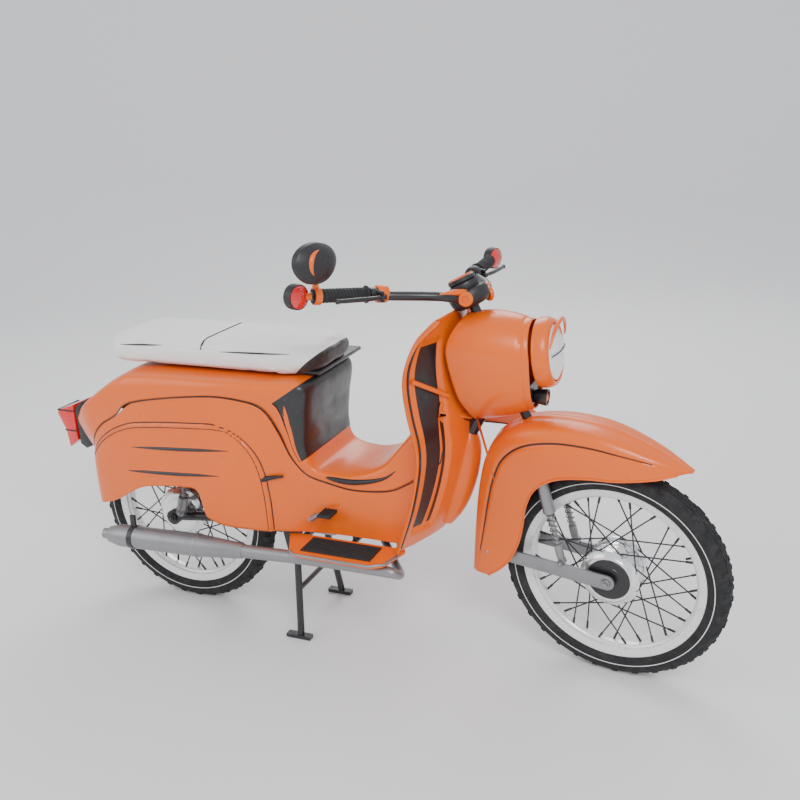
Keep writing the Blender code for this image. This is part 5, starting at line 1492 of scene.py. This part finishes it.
def make_bars():
    half = [
        BAR_CENTRE + Vector((0.002, 0.040, 0.003)), BAR_CENTRE + Vector((-0.020, 0.095, 0.014)),
        GRIP_START + Vector((0.018, -0.032, -0.006)), GRIP_START, GRIP_END,
    ]
    points = [on_side(p, -1) for p in reversed(half)] + half
    bar = tube(curve_points(points, 72), 0.0108, 24)
    join(bar, tube([BAR_CENTRE - BAR_UPRIGHT * 0.020, BAR_CENTRE + BAR_UPRIGHT * 0.0155], 0.0235, 36))
    for side in (-1, 1):
        middle_point = on_side(GRIP_START - GRIP_AXIS * 0.010, side)
        axis = on_side(GRIP_AXIS, side)
        join(
            bar,
            spun([(-0.009, 0.010), (-0.009, 0.0152), (0.008, 0.0152), (0.008, 0.010)], middle_point, axis, 32)
        )
        pivot_point = on_side(LEVER_PIVOT, side)
        for level in (-1, 1):
            off = on_side(LEVER_AXIS, side) * level * 0.0088
            join(bar, tube([middle_point.lerp(pivot_point, 0.36) + off, pivot_point + off], 0.0042, 12))
        join(bar, tube([pivot_point - LEVER_AXIS * 0.0125, pivot_point + LEVER_AXIS * 0.0125], 0.0030, 12))
    add_bar_piece("handlebar_tube", bar, "enamel", "steering", ["handlebar"])
    up = BAR_UPRIGHT
    low = BAR_CENTRE + up * 0.0200
    cover = spun(
        [(0.0, 0.0), (0.0, 0.033), (0.004, 0.0345), (0.014, 0.0355), (0.018, 0.034), (0.018, 0.0)], low, up,
        48,
    )
    add_bar_piece("clamp_cover", cover, "plastic", "steering", ["bar_cowl"])
    dial = spun(
        [
            (0.0, 0.0), (0.0, 0.030), (0.004, 0.0335), (0.011, 0.0335), (0.014, 0.030), (0.0125, 0.0275),
            (0.0110, 0.0265), (0.0110, 0.0),
        ],
        BAR_CENTRE + up * 0.0384, up, 48,
    )
    add_bar_piece("dial_case", dial, "dial", "steering", ["speedometer"])
    ring = spun(
        [(0.011, 0.0262), (0.0148, 0.0272), (0.0152, 0.0300), (0.012, 0.0318)], BAR_CENTRE + up * 0.0384,
        up, 48,
    )
    add_bar_piece("dial_ring", ring, "paint", "steering")
    needle = slab((-0.001, -0.0008, 0.0), (0.018, 0.0008, 0.0008))
    turn = up.to_track_quat("Z", "Y").to_matrix().to_4x4()
    bmesh.ops.transform(
        needle, matrix=Matrix.Translation(BAR_CENTRE + up * 0.0505) @ turn @ Matrix.Rotation(2.2, 4, "Z"),
        verts=needle.verts,
    )
    add_bar_piece("dial_needle", needle, "paint", "steering")
    shell = spun(
        [
            (-0.020, 0.0), (-0.020, 0.030), (-0.016, 0.040), (-0.006, 0.047), (0.010, 0.049),
            (0.018, 0.045), (0.021, 0.036), (0.021, 0.0),
        ],
        BAR_CENTRE, up, 48,
    )
    add_bar_piece("headset_shell", shell, "plastic", "steering")
    for side, where in ((-1, "right"), (1, "left")):
        out = Vector((0.42, side * 0.90, 0.10)).normalized()
        knob = spun(
            [
                (0.0, 0.0), (0.0, 0.016), (0.006, 0.0175), (0.010, 0.015), (0.010, 0.0085), (0.006, 0.0075),
                (0.006, 0.0),
            ],
            BAR_CENTRE + out * 0.046, out, 32,
        )
        add_bar_piece(f"steering_damper_knob_{where}", knob, "paint", "steering")
    swoosh = [
        BAR_CENTRE + Vector((0.020, 0.010, 0.012)), BAR_CENTRE + Vector((0.006, -0.050, 0.020)),
        BAR_CENTRE + Vector((-0.012, -0.098, 0.020)),
    ]
    swoosh_line = curve_points(swoosh, 17)
    flash = tube(swoosh_line, [0.0018 + 0.0058 * math.sin(math.pi * i / 16) for i in range(17)], 14)
    add_bar_piece("bar_trim_right", flash, "paint", "steering")
    flash = tube(
        [on_side(p, -1) for p in swoosh_line],
        [0.0018 + 0.0058 * math.sin(math.pi * i / 16) for i in range(17)], 14,
    )
    add_bar_piece("bar_trim_left", flash, "paint", "steering")


def make_grips():
    bore = 0.0112
    length = (GRIP_END - GRIP_START).length
    profile = [(0.003, bore), (0.003, 0.0195), (0.0065, 0.0200), (0.009, 0.0165)]
    for i in range(15):
        along = 0.012 + (length - 0.022) * i / 14
        profile += [
            (along - 0.0022, 0.0148), (along - 0.0014, 0.0160), (along + 0.0014, 0.0160),
            (along + 0.0022, 0.0148),
        ]
    profile += [(length - 0.004, 0.0168), (length - 0.001, 0.0160), (length - 0.001, bore)]
    left = spun(profile, GRIP_START, GRIP_AXIS, 40)
    add_bar_piece("grip_rubber_left", left, "rubber", "steering", ["grip_left"])
    right = spun(profile, on_side(GRIP_START, -1), on_side(GRIP_AXIS, -1), 40)
    add_bar_piece("grip_rubber_right", right, "rubber", "throttle", ["twist_grip"])
    for side, where in ((-1, "right"), (1, "left")):
        axis = on_side(GRIP_AXIS, side)
        base = on_side(GRIP_START, side) - axis * 0.020
        box = spun(
            [
                (-0.026, 0.0112), (-0.026, 0.0185), (-0.022, 0.0205), (-0.004, 0.0205), (0.0, 0.0185),
                (0.0, 0.0112),
            ],
            base, axis, 32,
        )
        colour, slot = ("paint", "body_paint") if side < 0 else ("plastic", "black_plastic")
        add_bar_piece(f"switch_housing_{where}", box, colour, "steering", [])
        knob = spun(
            [(0.0, 0.0), (0.0, 0.006), (0.005, 0.005), (0.006, 0.0)],
            base - axis * 0.013 + Vector((-0.019, 0, 0.006)), Vector((-1, 0, 0.3)), 20,
        )
        add_bar_piece(
            f"switch_button_{where}", knob, "plastic" if side < 0 else "alloy", "steering", [],
        )


def make_levers():
    for side, where, body in ((1, "left", "clutch_lever"), (-1, "right", "brake_lever")):
        tip = LEVER_PIVOT + GRIP_AXIS * 0.128 + Vector((0.022, 0, -0.004))
        elbow = LEVER_PIVOT + GRIP_AXIS * 0.035 + Vector((0.010, 0, -0.002))
        line = [
            on_side(p, side)
            for p in curve_points(
                [LEVER_PIVOT, elbow, LEVER_PIVOT.lerp(tip, 0.65) + Vector((0.004, 0, 0)), tip], 25,
            )
        ]
        blade = tube(line, [0.0046 + 0.0008 * math.sin(math.pi * i / 24) for i in range(25)], 16)
        ball = bmesh.new()
        bmesh.ops.create_uvsphere(
            ball, u_segments=20, v_segments=12, radius=0.0060, matrix=Matrix.Translation(line[-1]),
        )
        pivot_point = on_side(LEVER_PIVOT, side)
        eye = tube([pivot_point - LEVER_AXIS * 0.0048, pivot_point + LEVER_AXIS * 0.0048], 0.0088, 24)
        join(blade, ball, eye)
        add_bar_piece(f"{body}_blade", blade, "enamel", body, [f"lever_{where}"])


def make_indicators():
    for side, where in ((1, "left"), (-1, "right")):
        axis = on_side(GRIP_AXIS, side)
        start = on_side(GRIP_END + GRIP_AXIS * 0.0035, side)
        stem = spun(
            [(0.0, 0.0), (0.0, 0.0088), (0.016, 0.0088), (0.020, 0.012), (0.020, 0.0)], start, axis, 28,
        )
        add_bar_piece(f"indicator_stem_{where}", stem, "paint", "steering")
        centre = start + axis * 0.034
        ahead = Vector((1, 0, 0))
        ring = spun(
            [
                (-0.010, 0.024), (-0.011, 0.0275), (-0.006, 0.0285), (0.006, 0.0285), (0.011, 0.0275),
                (0.010, 0.024),
            ],
            centre, ahead, 48,
        )
        add_bar_piece(f"indicator_rim_{where}", ring, "plastic", "steering")
        lens = [
            (-0.017, 0.0), (-0.0165, 0.010), (-0.0145, 0.018), (-0.011, 0.0255), (0.011, 0.0255),
            (0.0145, 0.018), (0.0165, 0.010), (0.017, 0.0),
        ]
        red = spun(lens, centre, ahead, 48)
        for radius, depth in ((0.0085, 0.0162), (0.0165, 0.0150)):
            for face in (-1, 1):
                join(
                    red,
                    spun(
                        [
                            (face * (depth - 0.001), radius - 0.001), (face * (depth + 0.0008), radius),
                            (face * (depth - 0.001), radius + 0.001),
                        ],
                        centre, ahead, 40,
                    )
                )
        add_bar_piece(f"indicator_lens_{where}", red, "red", "steering", [f"indicator_{where}"])


def make_mirror():
    clamp_at = on_side(MIRROR_CLAMP, -1)
    axis = on_side(GRIP_AXIS, -1)
    collar = spun(
        [(-0.0075, 0.0166), (-0.0075, 0.0196), (0.0075, 0.0196), (0.0075, 0.0166)], clamp_at, axis, 32,
    )
    base = clamp_at + Z * 0.0205
    head = on_side(MIRROR_HEAD, -1)
    join(collar, bolt(clamp_at + Z * 0.016, Z, 0.014, 0.008))
    top = head - Z * 0.034
    join(
        collar,
        tube(
            curve_points([base, base.lerp(top, 0.4) + Vector((0, -0.006, 0)), top + Z * 0.006], 15), 0.0052,
            16,
        )
    )
    add_bar_piece("mirror_arm", collar, "paint", "steering", ["mirror_stem"])
    back = Vector((1, 0, 0.05)).normalized()
    centre = head + Z * 0.014
    shell = [
        (-0.0100, 0.0), (-0.0100, 0.0485), (-0.0112, 0.0520), (-0.0080, 0.0538), (0.004, 0.0520),
        (0.011, 0.0440), (0.018, 0.0310), (0.0215, 0.0160), (0.022, 0.0),
    ]
    body = mirror_form(spun(shell, centre, back, 64), centre)
    add_bar_piece("mirror_shell", body, "plastic", "mirror", ["mirror_head"])
    glass = mirror_form(
        spun([(-0.0104, 0.0), (-0.0108, 0.0478), (-0.0098, 0.0478), (-0.0098, 0.0)], centre, back, 64),
        centre,
    )
    add_bar_piece("mirror_plate", glass, "mirror", "mirror")
    # Painted highlight: an orange crescent on the black shell where it catches the light.
    line = [
        centre + Vector((0.0165, 0.030 * math.cos(a), 0.030 * math.sin(a)))
        for a in [math.radians(100 + 130 * i / 24) for i in range(25)]
    ]
    crescent = tube(line, [0.0006 + 0.0055 * math.sin(math.pi * i / 24) for i in range(25)], 12)
    add_bar_piece("mirror_painted_highlight", crescent, "paint", "mirror")


def mirror_form(bm, centre):
    """Squares a round mirror a little, narrower below."""
    for vert in bm.verts:
        off = vert.co - centre
        vert.co.y = centre.y + off.y * (1.0 + 1.6 * off.z) * 1.12
        vert.co.z = centre.z + off.z * 0.82
    return bm


# Pieces of the frame that keep their own mesh.


def finish_kept_nodes():
    finishes = {
        "frame": "enamel", "centre_stand": "enamel", "crankcase": "cast", "carburettor": "cast",
        "fuel_tank": "enamel", "chain_case": "enamel", "rear_sprocket": "steel", "front_brake_plate": "alloy",
        "rear_brake_plate": "alloy",
    }
    for node, finish in finishes.items():
        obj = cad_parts[node]
        obj.data.materials.clear()
        obj.data.materials.append(look(finish))


# Stage.


# The camera's focal length in millimetres, its yaw, pitch and roll in degrees, and its place,
# from the point on the ground midway between the axles.
CAMERA_LENS = 43.41
CAMERA_ANGLES = (23.133, 18.301, -2.364)
CAMERA_PLACE = Vector((0.950, -2.077, 1.396))


def make_stage():
    scene = bpy.context.scene
    wall = bmesh.new()
    profile = [(-9.0, -0.001), (4.0, -0.001)] + [
        (
            4.0 + 2.5 * math.sin(math.pi / 2 * i / 12), 2.499 - 2.5 * math.cos(math.pi / 2 * i / 12),
        ) for i in range(1, 13)
    ] + [(6.5, 9.0)]
    first = [wall.verts.new((-16.0, y, z)) for y, z in profile]
    for low, high in zip(first, first[1:]):
        wall.edges.new((low, high))
    made = bmesh.ops.extrude_edge_only(wall, edges=wall.edges[:])
    bmesh.ops.translate(
        wall, vec=(32.0, 0, 0), verts=[v for v in made["geom"] if isinstance(v, bmesh.types.BMVert)],
    )
    bmesh.ops.recalc_face_normals(wall, faces=wall.faces)
    bmesh.ops.rotate(wall, cent=(0, 0, 0), matrix=Matrix.Rotation(math.radians(23), 3, "Z"), verts=wall.verts)
    mesh = bpy.data.meshes.new("studio_floor")
    wall.to_mesh(mesh)
    wall.free()
    floor = bpy.data.objects.new("studio_floor", mesh)
    scene.collection.objects.link(floor)
    if mesh.polygons[0].normal.z < 0:
        mesh.flip_normals()
    mesh.shade_smooth()
    pale = Finish("pale floor", (0.86, 0.86, 0.855), 0.9)
    pale.tint(pale.spread(pale.noise(0.8, 2.0), 0.4, 0.7, 0.0, 0.15), (0.83, 0.83, 0.82))
    mesh.materials.append(pale.material)
    world = bpy.data.worlds.new("studio")
    world.use_nodes = True
    world.node_tree.nodes["Background"].inputs["Color"].default_value = (0.93, 0.95, 1.0, 1.0)
    world.node_tree.nodes["Background"].inputs["Strength"].default_value = 0.95
    scene.world = world
    for name, place, size, power in (
        ("key", (2.2, -3.2, 3.6), 2.0, 120.0), ("fill", (-3.2, -2.4, 2.4), 3.0, 40.0),
        ("back", (-0.8, 3.2, 3.2), 2.6, 70.0),
    ):
        lamp = bpy.data.lights.new(f"{name}_light", "AREA")
        lamp.shape = "DISK"
        lamp.size = size
        lamp.energy = power
        obj = bpy.data.objects.new(f"{name}_light", lamp)
        scene.collection.objects.link(obj)
        obj.location = place
        obj.rotation_euler = (Vector((0, 0, 0.5)) - Vector(place)).to_track_quat("-Z", "Y").to_euler()
    lens = bpy.data.cameras.new("camera")
    lens.lens = CAMERA_LENS
    lens.sensor_width = 36.0
    lens.clip_end = 60.0
    camera = bpy.data.objects.new("camera", lens)
    scene.collection.objects.link(camera)
    yaw, pitch, roll = (math.radians(angle) for angle in CAMERA_ANGLES)
    away = Vector((math.sin(yaw) * math.cos(pitch), -math.cos(yaw) * math.cos(pitch), math.sin(pitch)))
    right = Vector((math.cos(yaw), math.sin(yaw), 0))
    upward = away.cross(right)
    right, upward = right * math.cos(
        roll,
    ) + upward * math.sin(roll), upward * math.cos(roll) - right * math.sin(roll)
    camera.matrix_world = Matrix.Translation(
        SHIFT + CAMERA_PLACE,
    ) @ Matrix((right, upward, away)).transposed().to_4x4()
    scene.camera = camera


# The add-on.


class MopedSettings(PropertyGroup):
    """Sizes and colours that a user would change."""

    paint_colour: FloatVectorProperty(
        name="Paint", description="Colour of the painted bodywork", subtype="COLOR", size=3,
        default=(0.86, 0.135, 0.0), min=0.0, max=1.0,
    )
    seat_colour: FloatVectorProperty(
        name="Seat", description="Colour of the seat's cover", subtype="COLOR", size=3,
        default=(0.86, 0.85, 0.83), min=0.0, max=1.0,
    )


def operator(name, label, text, *makers):
    """An operator class that runs the makers of a group of like pieces."""

    def execute(self, context):
        for maker in makers:
            maker()
        return {"FINISHED"}

    return type(
        f"MOPED_OT_{name}", (Operator,),
        {
            "bl_idname": f"moped.{name}", "bl_label": label, "__doc__": text,
            "bl_options": {"REGISTER", "UNDO"}, "execute": execute,
        },
    )


OPERATORS = [
    operator("stage", "Stage", "Adds the floor, the lights and the camera.", make_stage),
    operator("kept", "Kept nodes", "Gives every node that keeps its own mesh its finish.", finish_kept_nodes),
    operator(
        "wheels", "Wheels", "Builds both wheels.", lambda: make_wheel("front", FRONT_AXLE, STEERED),
        lambda: make_wheel("rear", BACK_AXLE, STRAIGHT),
    ),
    operator(
        "suspension", "Suspension", "Builds the fork, the links and the spring-and-damper units.",
        make_fork, make_arms, make_struts,
    ),
    operator(
        "body", "Body", "Builds the body shell, the side covers and the leg shield.", make_upper_body,
        make_body_trim, make_side_covers, make_leg_shield,
    ),
    operator("mudguard", "Front mudguard", "Builds the front mudguard.", make_fender),
    operator(
        "headlight", "Headlight and horn", "Builds the cowl, the headlight and the horn.", make_cowl,
        make_horn,
    ),
    operator("seat", "Seat", "Builds the seat and its trim.", make_seat),
    operator(
        "power", "Power unit", "Builds the cylinder, the flywheel cover and the exhaust.", make_engine,
        make_exhaust,
    ),
    operator(
        "floor", "Floor and pedals", "Builds the floor plates, their mats and the pedals.", make_floor,
        make_pedals,
    ),
    operator("tail", "Tail light", "Builds the tail light.", make_tail),
    operator(
        "controls", "Controls", "Builds the handlebar, grips, levers, indicators and mirror.", make_bars,
        make_grips, make_levers, make_indicators, make_mirror,
    ),
]


class MOPED_PT_panel(Panel):
    """Lists the moped's operators."""

    bl_label = "Moped"
    bl_idname = "MOPED_PT_panel"
    bl_space_type = "VIEW_3D"
    bl_region_type = "UI"
    bl_category = "Moped"

    def draw(self, context):
        self.layout.prop(context.scene.moped, "paint_colour")
        self.layout.prop(context.scene.moped, "seat_colour")
        for made in OPERATORS:
            self.layout.operator(made.bl_idname)


CLASSES = [MopedSettings, *OPERATORS, MOPED_PT_panel]


def register():
    for made in CLASSES:
        bpy.utils.register_class(made)
    bpy.types.Scene.moped = PointerProperty(type=MopedSettings)


def unregister():
    del bpy.types.Scene.moped
    for made in reversed(CLASSES):
        bpy.utils.unregister_class(made)


def main():
    register()
    for made in OPERATORS:
        getattr(bpy.ops.moped, made.bl_idname.split(".")[1])()


if __name__ == "__main__":
    main()
